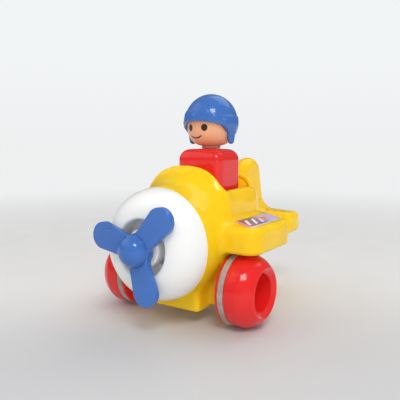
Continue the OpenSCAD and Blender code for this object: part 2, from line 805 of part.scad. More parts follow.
// Ball that is squarer than a sphere, with a flat underside
module head_form() rotate_extrude() polygon(concat(
  [[0, -head_r], [neck_r + 1, -head_r]],
  [for (a = [-58:8:86]) [head_r * signed_pow(cos(a), 0.84),
    head_r * signed_pow(sin(a), 0.84)]],
  [[0, head_r]]));

// Head: turns on the peg, with a socket for the neck
module pilot_head() color(skin) placed() translate([0, head_y, head_z])
  rotate(face_turn) difference() {
    head_form();
    translate([0, 0, -head_r - 1]) cylinder(r = neck_r + 0.3, h = 2.6);
    translate([0, 0, -head_r - 1]) cylinder(r = peg_r + run_fit, h = 11.5);
  }

// Helmet: a cap that is open over the face, with goggles and ear flaps
module pilot_helmet() color(blue) placed() translate([0, head_y, head_z])
  rotate(face_turn) difference() {
    brow = 0.3;
    nape = -7.6;
    union() {
      difference() {
        union() {
          sphere(r = helmet_r);
          for (s = [-1, 1]) rotate(s * asin(goggle_x / helmet_r))
            translate([0, -helmet_r / 2, 2.6]) rotate([90, 0, 0])
            cylinder(r = goggle_r, h = helmet_r / 2 - 0.15);
        }
        translate([-far / 2, -far - 6, brow - far]) cube(far);
        translate([-far / 2, -far / 2, nape - far]) cube(far);
      }
      for (s = [0, 1]) mirror([s, 0, 0]) ear_flap();
    }
    head_form();
  }

// Ear flap, narrower towards its round tip
module ear_flap() translate([helmet_r - 1.1 - flap_t, 0, 0])
  rotate([90, 0, 90]) linear_extrude(flap_t) offset(r = 1.6, $fn = 32)
    polygon([[0, -13.4], [0.6, -13.4], [3, -6], [3, 0], [-7.2, 0],
      [-6.6, -2], [-2.4, -7.5]]);

module front_axle() color(steel) placed() {
  half = wheel_in + wheel_w - recess_depth + 0.5;
  along_x(-half, 0, axle_z) cylinder(r = axle_r, h = 2 * half);
}

// Power of the shoulder's curve, 1 is a cone and 2 an ellipse
shoulder_power = 1.4;

// How far the lip slopes in towards the recess
lip_in = 2.2;

// Half section of a wheel, from its inner face outwards
module wheel() {
  floor_x = wheel_w - recess_depth;
  seat = wheel_r - band_t;
  edge = flange_w + band_w;
  difference() {
    rotate_extrude($fn = 96) polygon(concat(
      [[axle_r, 0], [wheel_r - 1, 0], [wheel_r - 0.6, 0.6],
        [wheel_r - 0.6, flange_w], [seat, flange_w], [seat, edge],
        [wheel_r - 0.8, edge], [wheel_r - 0.8, edge + 0.5],
        [wheel_r - 0.1, edge + 0.9], [wheel_r - 0.1, wheel_w - shoulder]],
      [for (a = [10:10:90]) [lip_r + (wheel_r - 0.1 - lip_r)
        * pow(cos(a), 2 / shoulder_power), wheel_w - shoulder
        + shoulder * pow(sin(a), 2 / shoulder_power)]],
      [for (s = [0.2:0.2:1]) [lip_r - (lip_r - recess_r) * s,
        wheel_w - lip_in * pow(s, 1.25)]],
      [[recess_r, floor_x], [4.5, floor_x], [4.5, floor_x + 2],
        [axle_r, floor_x + 2]]));
    rotate_extrude($fn = 96) polygon([[6, -1], [seat - 2, -1],
      [seat - 2, wheel_w - shoulder - 1], [recess_r + 4, wheel_w - 5.5],
      [recess_r + 2.2, wheel_w - 5.5], [recess_r + 2.2, floor_x - 2.2],
      [6, floor_x - 2.2]]);
  }
}

module tyre_band() rotate_extrude($fn = 96) {
  translate([wheel_r - band_t, flange_w]) square([band_t - 0.5, band_w]);
  translate([wheel_r - 0.6, flange_w + 0.4]) square([0.6, band_w - 0.8]);
}

module on_left_hub() along_x(wheel_in, 0, axle_z) children();

module wheel_left() color(red) placed() on_left_hub() wheel();
module wheel_right() color(red) placed()
  mirror([1, 0, 0]) on_left_hub() wheel();
module tyre_band_left() color(grey) placed() on_left_hub() tyre_band();
module tyre_band_right() color(grey) placed()
  mirror([1, 0, 0]) on_left_hub() tyre_band();

// Involute angle in degrees at radius r over base radius b
function inv_at(b, r) = let (t = sqrt(max(0, r * r / (b * b) - 1)))
  t * 180 / PI - atan(t);

// Outline of a spur gear with its first tooth at the given phase
function gear_points(n, phase) =
  let (rp = mod * n / 2, rb = rp * cos(pressure), ra = rp + addendum,
    rr = rp - dedendum,
    half = 90 / n - tooth_play / 4 / rp * 180 / PI + inv_at(rb, rp),
    radii = [for (k = [0:4]) max(rb, rr) + (ra - max(rb, rr)) * k / 4])
  [for (i = [0:n - 1]) let (c = phase + 360 * i / n)
    each concat(
      rb > rr ? [[rr * cos(c - half), rr * sin(c - half)]] : [],
      [for (r = radii) let (a = c - half + inv_at(rb, r))
        [r * cos(a), r * sin(a)]],
      [for (k = [4:-1:0]) let (r = radii[k], a = c + half - inv_at(rb, r))
        [r * cos(a), r * sin(a)]],
      rb > rr ? [[rr * cos(c + half), rr * sin(c + half)]] : [])];

module gear(n, phase, w, bore) linear_extrude(w) difference() {
  polygon(gear_points(n, phase));
  circle(bore);
}

module axle_gear() color(cream) placed()
  along_x(gear_x, 0, axle_z) gear(axle_teeth, axle_phase, gear_w, axle_r);

module drive_arbor() color(steel) placed()
  along_x(-plate_out - 1, drive_y, drive_z)
    cylinder(r = drive_arbor_r, h = 2 * plate_out + 2);

module drive_gear() color(cream) placed()
  along_x(gear_x, drive_y, drive_z)
    gear(drive_teeth, drive_phase, gear_w, drive_arbor_r);

// Ratchet wheel with eight saw teeth, fixed on the drive arbor
module clutch_wheel() color(cream) placed()
  along_x(clutch_x, drive_y, drive_z) linear_extrude(3) difference() {
    polygon([for (i = [0:7]) each [[3.4 * cos(45 * i), 3.4 * sin(45 * i)],
      [4.6 * cos(45 * i), 4.6 * sin(45 * i)]]]);
    circle(drive_arbor_r);
  }

module rack_pinion() color(cream) placed()
  along_x(rack_x, drive_y, drive_z)
    gear(rack_teeth, 0, rack_w, drive_arbor_r + run_fit);

// Pawl on the side of the free pinion, lifted clear of the ratchet
module clutch_pawl() color(steel) placed()
  along_x(rack_x + rack_w, drive_y, drive_z) linear_extrude(face_gap + 2)
    difference() {
      rotate(100) translate([4.95, -1.6]) square([0.8, 3.2]);
      circle(4.9);
    }

module flywheel_arbor() color(steel) placed()
  along_x(fly_x - 1, fly_y, fly_z)
    cylinder(r = fly_arbor_r, h = plate_out + 1 - (fly_x - 1));

module flywheel() color(steel) placed() along_x(fly_x, fly_y, fly_z)
  difference() {
    union() {
      cylinder(r = flywheel_r, h = flywheel_t);
      cylinder(r = 3, h = flywheel_t + 1);
    }
    translate([0, 0, -1]) cylinder(r = fly_arbor_r, h = flywheel_t + 3);
    translate([0, 0, -1]) difference() {
      cylinder(r = flywheel_r - 3.5, h = 2.2);
      translate([0, 0, -1]) cylinder(r = 4, h = 5);
    }
  }

module flywheel_pinion() color(cream) placed()
  along_x(gear_x, fly_y, fly_z)
    gear(fly_teeth, fly_phase, gear_w, fly_arbor_r);

// Face gear whose teeth point to the propeller pinion
module crown_gear() color(cream) placed() difference() {
  along_x(prop_pitch_r, fly_y, fly_z) {
    translate([0, 0, 1.3]) cylinder(r = crown_pitch_r + 1.6,
      h = gear_x - prop_pitch_r - 1.3);
    for (i = [0:crown_teeth - 1]) rotate(360 * (i + 0.5) / crown_teeth)
      rotate([90, 0, 90]) translate([0, 0, crown_pitch_r - 1])
        linear_extrude(2)
        polygon([[-0.85, 1.4], [-0.25, -0.7], [0.25, -0.7], [0.85, 1.4]]);
  }
  along_x(0, fly_y, fly_z) cylinder(r = fly_arbor_r, h = 20);
}

pinion_y = fly_y - crown_pitch_r;

module prop_shaft() color(steel) placed() {
  rear = pinion_y + 2.4;
  along_nose(rear, nose_z) cylinder(r = prop_shaft_r,
    h = rear - cap_y + 1);
}

module prop_pinion() color(cream) placed()
  along_nose(pinion_y + 2, nose_z) linear_extrude(4) difference() {
    polygon(pinion_points(prop_teeth, 0));
    circle(prop_shaft_r);
  }

function pinion_points(n, phase) = let (r = mod * n / 2)
  [for (i = [0:n - 1]) let (c = phase + 360 * i / n)
    each [for (q = [[-1.1, -19], [-0.35, -13.5], [0.6, -5],
        [0.6, 5], [-0.35, 13.5], [-1.1, 19]])
      [(r + q[0]) * cos(c + q[1] * 8 / n), (r + q[0]) * sin(c + q[1] * 8 / n)]]];

// Middle of the blades, just behind the cap, and so far forwards that their
// rear edges clear the lip
blade_y = min(cap_y + blade_t / 2 + 0.9, mouth_y - face_gap
  - blade_w / 2 * sin(blade_pitch) - blade_t / 2 * cos(blade_pitch));

// One blade in its own plane, wider towards its round tip
module blade_outline() hull() {
  translate([hub_r - 3, 0]) circle(blade_w * 0.4, $fn = 32);
  translate([prop_r - blade_w * 0.5, 0]) circle(blade_w * 0.5, $fn = 48);
  translate([prop_r - blade_w * 0.8, 0]) circle(blade_w * 0.49, $fn = 32);
}

module propeller() color(blue) placed() difference() {
  union() {
    along_nose(hub_y, nose_z) cylinder(r = hub_r, h = hub_len);
    for (i = [0:blades - 1])
      translate([0, blade_y, nose_z])
        rotate([0, -blade_turn - 360 * i / blades, 0])
        rotate([blade_pitch, 0, 0]) rotate([90, 0, 0])
        translate([0, 0, -blade_t / 2]) linear_extrude(blade_t)
        blade_outline();
  }
  along_nose(hub_y + 1, nose_z) cylinder(r = prop_shaft_r, h = hub_len + 2);
  along_nose(cap_y, nose_z) cylinder(r = hub_r + 0.1, h = cap_len);
}

// Domed cap with a thin rim line where it meets the hub
module hub_cap() color(blue) placed() along_nose(cap_y, nose_z)
  difference() {
    rotate_extrude() polygon(concat([[0, 0], [hub_r, 0], [hub_r, 0.7],
      [hub_r - 0.2, 0.9]], [for (a = [0:10:90]) [(hub_r - 0.3) * cos(a),
        0.9 + (cap_len - 0.9) * sin(a)]]));
    translate([0, 0, -1]) cylinder(r = prop_shaft_r, h = 2.2);
  }

module tail_wheel() color(red) placed()
  along_x(-tail_wheel_w / 2, wheelbase, tail_wheel_r) difference() {
    rotate_extrude() polygon([[0, 0], [tail_wheel_r - 1, 0],
      [tail_wheel_r, 1], [tail_wheel_r, tail_wheel_w - 1],
      [tail_wheel_r - 1, tail_wheel_w], [0, tail_wheel_w]]);
    translate([0, 0, -1])
      cylinder(r = tail_pin_r + run_fit, h = tail_wheel_w + 2);
  }

upper_body();
lower_body();
nose_cowl();
cockpit_floor();
plunger_guide();
gearbox_plate_left();
gearbox_plate_right();
gearbox_posts();
gearbox_screws();
body_screws();
nose_bush();
axle_bush_left();
axle_bush_right();
tail_wheel_pin();
return_spring();
wing_label_left();
wing_label_right();
pilot_torso();
plunger_base();
drive_rack();
torso_screws();
neck_peg();
pilot_head();
pilot_helmet();
front_axle();
wheel_left();
wheel_right();
tyre_band_left();
tyre_band_right();
axle_gear();
drive_arbor();
drive_gear();
clutch_wheel();
rack_pinion();
clutch_pawl();
flywheel_arbor();
flywheel();
flywheel_pinion();
crown_gear();
prop_shaft();
prop_pinion();
propeller();
hub_cap();
tail_wheel();
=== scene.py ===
# %% [markdown]
# A push-and-go toy airplane in glossy moulded plastic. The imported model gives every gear, screw and shaft
# at its real place. This lesson dresses it: each big moulding gets a smooth skin of its own, worked out
# with numpy from the same sizes, and every small part keeps its own solid under a better material.

# %% Load the fixed frame
import json
import math

import bmesh
import bpy
import numpy as np
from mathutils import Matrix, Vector


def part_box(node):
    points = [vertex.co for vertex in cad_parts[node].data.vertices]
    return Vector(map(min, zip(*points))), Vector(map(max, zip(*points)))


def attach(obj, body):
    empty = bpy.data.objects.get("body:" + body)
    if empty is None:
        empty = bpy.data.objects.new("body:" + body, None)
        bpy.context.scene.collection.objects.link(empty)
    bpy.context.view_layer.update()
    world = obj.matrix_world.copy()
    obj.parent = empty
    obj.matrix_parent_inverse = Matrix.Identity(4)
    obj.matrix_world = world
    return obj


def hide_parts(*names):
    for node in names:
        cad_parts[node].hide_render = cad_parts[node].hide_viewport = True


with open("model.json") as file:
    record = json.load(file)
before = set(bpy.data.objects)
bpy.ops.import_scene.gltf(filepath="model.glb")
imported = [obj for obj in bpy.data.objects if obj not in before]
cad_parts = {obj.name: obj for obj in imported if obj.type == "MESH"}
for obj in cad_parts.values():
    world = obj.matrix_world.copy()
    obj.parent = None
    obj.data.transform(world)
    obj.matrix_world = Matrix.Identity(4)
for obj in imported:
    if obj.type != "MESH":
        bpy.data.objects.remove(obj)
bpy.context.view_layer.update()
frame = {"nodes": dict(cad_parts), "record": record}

MM = 0.001

# %% [markdown]
# The shapes below are written in millimetres, with heights from the floor and lengths counted from the
# front axle, because that is how a maker would measure such a toy. The places come from the frame, so the
# skins can't drift away from the solids that they cover.

# %% Places that the frame gives


def middle(node):
    """Middle of a node's box, in millimetres."""
    low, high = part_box(node)
    return (np.array(low) + np.array(high)) / 2 / MM


def low_high(node):
    """Lowest and highest corner of a node's box, in millimetres from the front axle and the floor."""
    low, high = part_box(node)
    shift = np.array([0, axle_y, 0])
    return np.array(low) / MM - shift, np.array(high) / MM - shift


axle_y = middle("front_axle")[1]
axle_z = middle("front_axle")[2]
nose_z = middle("prop_shaft")[2]
wheel_r = axle_z
joint_z = low_high("upper_body")[0][2]
deck_z = low_high("wing_label_left")[0][2]
wing_half = low_high("upper_body")[1][0]
tail_end = low_high("upper_body")[1][1]
fin_top = low_high("upper_body")[1][2]
mouth_y = low_high("nose_cowl")[0][1]
torso_low, torso_high = low_high("pilot_torso")
helmet_low, helmet_high = low_high("pilot_helmet")
print("front axle at", round(axle_y, 2), axle_z, "nose axis at", nose_z, "deck at", deck_z)

# %% [markdown]
# The camera stands low in front of the left wing, as the photographer did. Its place was found from the
# circles of the wheels and the cowl, and the lens is a mild telephoto.

# %% Camera
camera_place = np.array([181.7, -260.1 + axle_y, 112.4]) * MM
camera_yaw = math.radians(33.2)
camera_pitch = math.radians(6.4)
focal_pixels = 480
frame_pixels = 400
sensor_width = 36

camera_data = bpy.data.cameras.new("photo_camera")
camera_data.sensor_width = sensor_width
camera_data.lens = focal_pixels * sensor_width / frame_pixels
camera = bpy.data.objects.new("photo_camera", camera_data)
camera.location = camera_place
camera.rotation_euler = (math.pi / 2 - camera_pitch, 0, camera_yaw)
bpy.context.scene.collection.objects.link(camera)
bpy.context.scene.camera = camera
print("lens", round(camera_data.lens, 1), "mm")

# %% [markdown]
# Moulded plastic has no sharp meeting of two forms: each has a small radius that the mould maker cut. So the
# body is described by distances. A field gives, for each point, how far it lies outside a form. Two fields
# join with a rounded valley or cut each other with a rounded edge, and both take their radius in
# millimetres. The arithmetic runs on whole arrays.

# %% Fields of distance


def round_and(a, b, r):
    """What lies in both forms. Near the edge the field is the length of (a + r, b + r), minus r."""
    return np.minimum(np.maximum(a, b), -r) + np.hypot(np.maximum(a + r, 0), np.maximum(b + r, 0))


def round_or(a, b, r):
    """What lies in either form, with a valley of radius r between them."""
    return -round_and(-a, -b, r)


def cut(a, b, r):
    """Form a without form b, with an edge of radius r."""
    return round_and(a, -b, r)


def half_plane(u, v, p, q):
    """Distance to the line from p to q in the (u, v) plane, positive on its right hand side."""
    du, dv = q[0] - p[0], q[1] - p[1]
    return ((u - p[0]) * dv - (v - p[1]) * du) / math.hypot(du, dv)


def polygon(u, v, corners, r):
    """Convex outline that runs anticlockwise, with corners of radius r."""
    field = half_plane(u, v, corners[-1], corners[0])
    for p, q in zip(corners[:-1], corners[1:]):
        field = round_and(field, half_plane(u, v, p, q), r)
    return field


def box_field(u, v, low, high, r):
    """Rectangle with corners of radius r: the length of what sticks out past the corner's centre, minus r."""
    du = np.abs(u - (low[0] + high[0]) / 2) - (high[0] - low[0]) / 2 + r
    dv = np.abs(v - (low[1] + high[1]) / 2) - (high[1] - low[1]) / 2 + r
    return np.hypot(np.maximum(du, 0), np.maximum(dv, 0)) + np.minimum(np.maximum(du, dv), 0) - r


def slab(w, low, high):
    """Distance to the space between two parallel planes."""
    return np.abs(w - (low + high) / 2) - (high - low) / 2


def curve_through(y, xs, values):
    """Smooth curve through a few stations: cubic pieces whose slopes never overshoot the stations."""
    xs = np.asarray(xs, float)
    values = np.asarray(values, float)
    steps = np.diff(xs)
    rise = np.diff(values) / steps
    slope = np.zeros(len(xs))
    same = rise[:-1] * rise[1:] > 0
    slope[1:-1][same] = 2 / (1 / rise[:-1][same] + 1 / rise[1:][same])
    slope[0], slope[-1] = rise[0], rise[-1]
    y = np.clip(y, xs[0], xs[-1])
    k = np.clip(np.searchsorted(xs, y) - 1, 0, len(steps) - 1)
    t = (y - xs[k]) / steps[k]
    return ((1 + 2 * t) * (1 - t) ** 2 * values[k] + t * (1 - t) ** 2 * steps[k] * slope[k]
            + t * t * (3 - 2 * t) * values[k + 1] + t * t * (t - 1) * steps[k] * slope[k + 1])


# %% [markdown]
# A field becomes a mesh in three moves. The space is cut into small boxes. Each box that the surface passes
# through gets one point, in the middle of the places where its edges are crossed. Then every point slides
# along the field's slope until it lies exactly on the form, so a coarse grid still gives a true surface.
# The boxes are narrower near the planes where the body has a tight edge, such as the cockpit's rim.

# %% From a field to a mesh
CORNERS = np.array([[i, j, k] for i in (0, 1) for j in (0, 1) for k in (0, 1)])
EDGES = [(a, b) for a in range(8) for b in range(a + 1, 8) if np.abs(CORNERS[a] - CORNERS[b]).sum() == 1]


def slope_of(field, p, h=0.02):
    """Slope of a field at many points, from differences over 2 h."""
    axes = np.eye(3) * h
    return np.stack([(field(*(p + a).T) - field(*(p - a).T)) / (2 * h) for a in axes], -1)


def grid_line(low, high, step, tight, fine=0.4, reach=1.6):
    """Places along one axis, a step apart, and only the fine step apart near each tight place. The number
    of steps passed is the integral of their density, and the places are where it is a whole number."""
    t = np.linspace(low, high, 4001)
    near = np.zeros_like(t)
    for place in tight:
        near = np.maximum(near, np.clip(2 - np.abs(t - place) / reach, 0, 1))
    density = (1 - near) / step + near / fine
    passed = np.concatenate([[0], np.cumsum((density[1:] + density[:-1]) / 2 * np.diff(t))])
    return np.interp(np.linspace(0, passed[-1], int(passed[-1]) + 2), passed, t)


def mesh_field(field, low, high, step, tight=((), (), ())):
    """Points and four-sided faces of the surface where the field is zero, inside a box."""
    axes = [grid_line(low[i], high[i], step, tight[i]) for i in range(3)]
    count = np.array([len(line) for line in axes])
    value = field(*np.meshgrid(*axes, indexing="ij", sparse=False))
    inside = value < 0
    blocks = [inside[i:count[0] - 1 + i, j:count[1] - 1 + j, k:count[2] - 1 + k] for i, j, k in CORNERS]
    total = sum(b.astype(np.int8) for b in blocks)
    cells = np.argwhere((total > 0) & (total < 8))
    number = np.full(count - 1, -1)
    number[tuple(cells.T)] = np.arange(len(cells))
    corner = np.stack([value[tuple((cells + c).T)] for c in CORNERS], 1)
    point = np.zeros((len(cells), 3))
    hits = np.zeros(len(cells))
    for a, b in EDGES:
        va, vb = corner[:, a], corner[:, b]
        crossed = (va < 0) != (vb < 0)
        t = np.where(crossed, va / np.where(crossed, va - vb, 1), 0)
        place = CORNERS[a] + t[:, None] * (CORNERS[b] - CORNERS[a])
        point += np.where(crossed[:, None], place, 0)
        hits += crossed
    point /= hits[:, None]
    for i, line in enumerate(axes):
        point[:, i] = line[cells[:, i]] + point[:, i] * np.diff(line)[cells[:, i]]
    for _ in range(4):
        slope = slope_of(field, point)
        move = field(*point.T)[:, None] * slope / np.maximum((slope ** 2).sum(1), 0.05)[:, None]
        point -= np.clip(move, -0.6 * step, 0.6 * step)
    faces = []
    for axis in range(3):
        side = [np.s_[:], np.s_[:], np.s_[:]]
        side[axis] = np.s_[:-1]
        other = list(side)
        other[axis] = np.s_[1:]
        first, second = inside[tuple(side)], inside[tuple(other)]
        u, v = (axis + 1) % 3, (axis + 2) % 3
        edge = np.argwhere(first != second)
        at_u, at_v = edge[:, u], edge[:, v]
        edge = edge[(at_u > 0) & (at_v > 0) & (at_u < count[u] - 1) & (at_v < count[v] - 1)]
        corners = []
        for du, dv in ((-1, -1), (0, -1), (0, 0), (-1, 0)):
            cell = edge.copy()
            cell[:, u] += du
            cell[:, v] += dv
            corners.append(number[tuple(cell.T)])
        quads = np.stack(corners, 1)
        turned = ~first[tuple(edge.T)]
        quads[turned] = quads[turned][:, ::-1]
        faces.append(quads)
    return point, np.concatenate(faces)


# %% [markdown]
# Every piece ends the same way: its points go to metres and to the frame's origin, its normals are made to
# point outwards where it was spun, edges sharper than an angle stay crisp, and it rides on its body.

# %% From points to a finished piece
CRISP_ANGLE = math.radians(40)


def quad_mesh(name, points, quads):
    """Mesh object from arrays of points in millimetres and four-sided faces."""
    mesh = bpy.data.meshes.new(name)
    placed = (np.asarray(points, float) + [0, axle_y, 0]) * MM
    mesh.vertices.add(len(placed))
    mesh.vertices.foreach_set("co", placed.ravel())
    mesh.loops.add(quads.size)
    mesh.loops.foreach_set("vertex_index", quads.ravel().astype(np.int32))
    mesh.polygons.add(len(quads))
    mesh.polygons.foreach_set("loop_start", np.arange(0, quads.size, 4, dtype=np.int32))
    mesh.update(calc_edges=True)
    mesh.validate()
    piece = bpy.data.objects.new(name, mesh)
    bpy.context.scene.collection.objects.link(piece)
    return piece


def edit(piece, change):
    """Runs a change on the piece's mesh through bmesh."""
    mesh = bmesh.new()
    mesh.from_mesh(piece.data)
    change(mesh)
    mesh.to_mesh(piece.data)
    mesh.free()


def close_seams(mesh):
    """Merges doubled points at seams and poles, and turns the faces outwards."""
    bmesh.ops.remove_doubles(mesh, verts=mesh.verts, dist=1e-6)
    bmesh.ops.dissolve_degenerate(mesh, edges=mesh.edges, dist=1e-7)
    bmesh.ops.recalc_face_normals(mesh, faces=mesh.faces)


def box_mesh(low, high):
    """Closed box between two corners, in millimetres, as a mesh object that only serves to cut."""
    corner = np.array(low) + CORNERS * (np.array(high) - np.array(low))
    quads = np.array([[0, 1, 3, 2], [4, 6, 7, 5], [0, 4, 5, 1], [2, 3, 7, 6], [0, 2, 6, 4], [1, 5, 7, 3]])
    piece = quad_mesh("cutter", corner, quads)
    edit(piece, close_seams)
    return piece


def carve(piece, cutter):
    """Cuts one closed mesh out of another and removes the cutter."""
    cutter_name = cutter.name
    modifier = piece.modifiers.new("carve", "BOOLEAN")
    modifier.operation = "DIFFERENCE"
    modifier.object = cutter
    modifier.solver = "EXACT"
    graph = bpy.context.evaluated_depsgraph_get()
    done = bpy.data.meshes.new_from_object(piece.evaluated_get(graph))
    piece.modifiers.clear()
    piece.data = done
    bpy.data.objects.remove(bpy.data.objects[cutter_name])


def finish_piece(piece, body, material, replaces):
    """Smooth shading with crisp edges over an angle, then the material, the body and the node it replaces."""
    piece.data.shade_smooth()
    piece.data.set_sharp_from_angle(angle=CRISP_ANGLE)
    piece.data.materials.append(material)
    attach(piece, body)
    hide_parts(replaces)
    print(piece.name, "has", len(piece.data.polygons), "faces")


def field_piece(name, field, low, high, step, tight=((), (), ())):
    """Piece from a field of distance."""
    return quad_mesh(name, *mesh_field(field, low, high, step, tight))


def spun(name, radius, along, axis, centre, turns=128, closed=True):
    """Profile of radius against distance along an axis, carried round that axis. The point at angle a is
    the centre plus along on the axis, radius cos a and radius sin a on the two axes that follow it."""
    radius, along = np.asarray(radius, float), np.asarray(along, float)
    angle = np.linspace(0, 2 * math.pi, turns, endpoint=False)
    index = "xyz".index(axis)
    point = np.zeros((len(radius), turns, 3))
    point[..., index] = along[:, None]
    point[..., (index + 1) % 3] = radius[:, None] * np.cos(angle)
    point[..., (index + 2) % 3] = radius[:, None] * np.sin(angle)
    rows = len(radius) if closed else len(radius) - 1
    i, j = np.meshgrid(np.arange(rows), np.arange(turns), indexing="ij")
    near, far = i * turns, (i + 1) % len(radius) * turns
    quads = np.stack([near + j, far + j, far + (j + 1) % turns, near + (j + 1) % turns], -1).reshape(-1, 4)
    piece = quad_mesh(name, point.reshape(-1, 3) + np.asarray(centre), quads)
    edit(piece, close_seams)
    return piece


def rounded(corners, steps=6):
    """Outline through corners (u, v, radius): each corner becomes an arc that touches both its sides."""
    corners = [np.array(c, float) for c in corners]
    out = []
    for k, c in enumerate(corners):
        before, after = corners[k - 1][:2] - c[:2], corners[(k + 1) % len(corners)][:2] - c[:2]
        a, b = before / np.hypot(*before), after / np.hypot(*after)
        half = math.acos(np.clip(a @ b, -1, 1)) / 2
        r = c[2]
        if r == 0 or half > 1.55:
            out.append(c[:2][None])
            continue
        reach = min(r / math.tan(half), 0.49 * np.hypot(*before), 0.49 * np.hypot(*after))
        r = reach * math.tan(half)
        middle_way = (a + b) / np.hypot(*(a + b))
        heart = c[:2] + middle_way * r / math.sin(half)
        t = np.linspace(0, 1, steps)[:, None]
        start, end = c[:2] + a * reach - heart, c[:2] + b * reach - heart
        turn = 2 * (math.pi / 2 - half)
        out.append(heart + (start * np.sin((1 - t) * turn) + end * np.sin(t * turn)) / math.sin(turn))
    return np.concatenate(out)


# %% [markdown]
# The plastics share four effects, each a node group that is built once: a drift of colour from the
# moulding, a faint orange peel on the polished skin, fine handling scratches, and paler rubbed edges. The
# gloss itself stays on each material's own shader.

# %% Shader node helpers


class Nodes:
    """Adds nodes to a tree and wires them with few words."""

    def __init__(self, tree):
        self.tree = tree

    def add(self, kind, **settings):
        node = self.tree.nodes.new("ShaderNode" + kind)
        for key, value in settings.items():
            setattr(node, key, value)
        return node

    def feed(self, socket, value):
        if isinstance(value, bpy.types.NodeSocket):
            self.tree.links.new(value, socket)
        else:
            socket.default_value = value

    def math(self, operation, *values):
        node = self.add("Math", operation=operation)
        for socket, value in zip(node.inputs, values):
            self.feed(socket, value)
        return node.outputs[0]

    def plus(self, a, b):
        return self.math("ADD", a, b)

    def minus(self, a, b):
        return self.math("SUBTRACT", a, b)

    def times(self, a, b):
        return self.math("MULTIPLY", a, b)

    def length(self, a, b):
        """Square root of a squared plus b squared."""
        return self.math("SQRT", self.plus(self.times(a, a), self.times(b, b)))

    def place(self):
        return self.add("TexCoord").outputs["Object"]

    def split(self, vector):
        node = self.add("SeparateXYZ")
        self.feed(node.inputs[0], vector)
        return node.outputs

    def blend(self, factor, first, second):
        """Two shaders. The factor is the share of the second."""
        node = self.add("MixShader")
        for socket, value in zip(node.inputs, (factor, first, second)):
            self.feed(socket, value)
        return node.outputs[0]

    def mix(self, factor, a, b):
        node = self.add("Mix", data_type="RGBA")
        self.feed(node.inputs["Factor"], factor)
        self.feed(node.inputs[6], a)
        self.feed(node.inputs[7], b)
        return node.outputs[2]

    def ramp(self, value, low, high, start=0.0, end=1.0):
        node = self.add("MapRange", interpolation_type="SMOOTHSTEP")
        for socket, v in zip(node.inputs[:5], (value, low, high, start, end)):
            self.feed(socket, v)
        return node.outputs[0]

    def noise(self, place, scale, detail=2.0, roughness=0.5, distortion=0.0):
        node = self.add("TexNoise")
        self.feed(node.inputs["Vector"], place)
        for key, v in (("Scale", scale), ("Detail", detail), ("Roughness", roughness),
                       ("Distortion", distortion)):
            self.feed(node.inputs[key], v)
        return node.outputs["Fac"]

    def stretched(self, place, scale, turn=(0, 0, 0)):
        node = self.add("Mapping")
        self.feed(node.inputs["Vector"], place)
        node.inputs["Scale"].default_value = scale
        node.inputs["Rotation"].default_value = turn
        return node.outputs["Vector"]


def new_group(name, inputs, outputs):
    """Shader node group with named number inputs, and outputs that are numbers or colours."""
    tree = bpy.data.node_groups.new(name, "ShaderNodeTree")
    for label, value in inputs.items():
        socket = tree.interface.new_socket(label, in_out="INPUT", socket_type="NodeSocketFloat")
        socket.default_value = value
    for label in outputs:
        tree.interface.new_socket(label, in_out="OUTPUT", socket_type="NodeSocketFloat")
    nodes = Nodes(tree)
    return tree, nodes, (tree.nodes.new("NodeGroupInput"), tree.nodes.new("NodeGroupOutput"))


# %% Shared effects


def make_drift():
    """Slow change of shade over a moulding: noise of a few centimetres, from 0 to 1."""
    tree, n, (enter, leave) = new_group("colour_drift", {"Scale": 18.0}, ["Shade"])
    place = n.place()
    wide = n.noise(place, enter.outputs["Scale"], 3.0, 0.55, 0.3)
    n.feed(leave.inputs["Shade"], n.ramp(wide, 0.32, 0.68))
    return tree


def make_peel():
    """Orange peel of a polished mould: two sizes of soft noise, as a height from 0 to 1."""
    tree, n, (enter, leave) = new_group("mould_peel", {"Scale": 420.0}, ["Height"])
    place = n.place()
    small = n.noise(place, enter.outputs["Scale"], 2.0)
    large = n.noise(place, n.times(enter.outputs["Scale"], 0.16), 1.0)
    n.feed(leave.inputs["Height"], n.math("MULTIPLY_ADD", large, 1.6, small))
    return tree


def make_scratches():
    """Fine scratches: noise stretched into long threads in two directions, kept only where a second,
    patchy noise says that the toy was handled."""
    tree, n, (enter, leave) = new_group("handling_scratches", {"Amount": 0.5}, ["Mask"])
    place = n.place()
    threads = []
    for scale, turn in (((60, 2600, 900), (0.4, 0.2, 0.5)), ((2400, 70, 1200), (0.3, -0.5, 0.9))):
        warped = n.stretched(place, scale, turn)
        thread = n.noise(warped, 1.0, 1.0, 0.4, 0.2)
        threads.append(n.ramp(thread, 0.66, 0.74))
    patch = n.ramp(n.noise(place, 55.0, 3.0, 0.6), 0.5, 0.66)
    both = n.math("MAXIMUM", *threads)
    n.feed(leave.inputs["Mask"], n.times(n.times(both, patch), enter.outputs["Amount"]))
    return tree


def make_rub():
    """Edges that hands have rubbed: the mesh's pointiness above a level, broken up by noise."""
    tree, n, (enter, leave) = new_group("rubbed_edges", {"Level": 0.54, "Amount": 0.6}, ["Mask"])
    place = n.place()
    point = n.add("NewGeometry").outputs["Pointiness"]
    edge = n.ramp(point, enter.outputs["Level"], n.plus(enter.outputs["Level"], 0.08))
    broken = n.ramp(n.noise(place, 260.0, 4.0, 0.7), 0.4, 0.62, 0.35, 1.0)
    n.feed(leave.inputs["Mask"], n.times(n.times(edge, broken), enter.outputs["Amount"]))
    return tree


EFFECTS = {"drift": make_drift(), "peel": make_peel(), "scratches": make_scratches(), "rub": make_rub()}
print("shared effects:", ", ".join(EFFECTS))

# %% [markdown]
# A toy like this is moulded in a few clear plastics. Their colour is mixed through, so a scratch is only
# paler and duller. Light goes a little way into the yellow and the skin colour, which softens their shade.

# %% Plastic and metal materials
PLASTIC_IOR = 1.5
LIGHT_DEPTH = 0.004
PEEL_HEIGHT = 0.0001


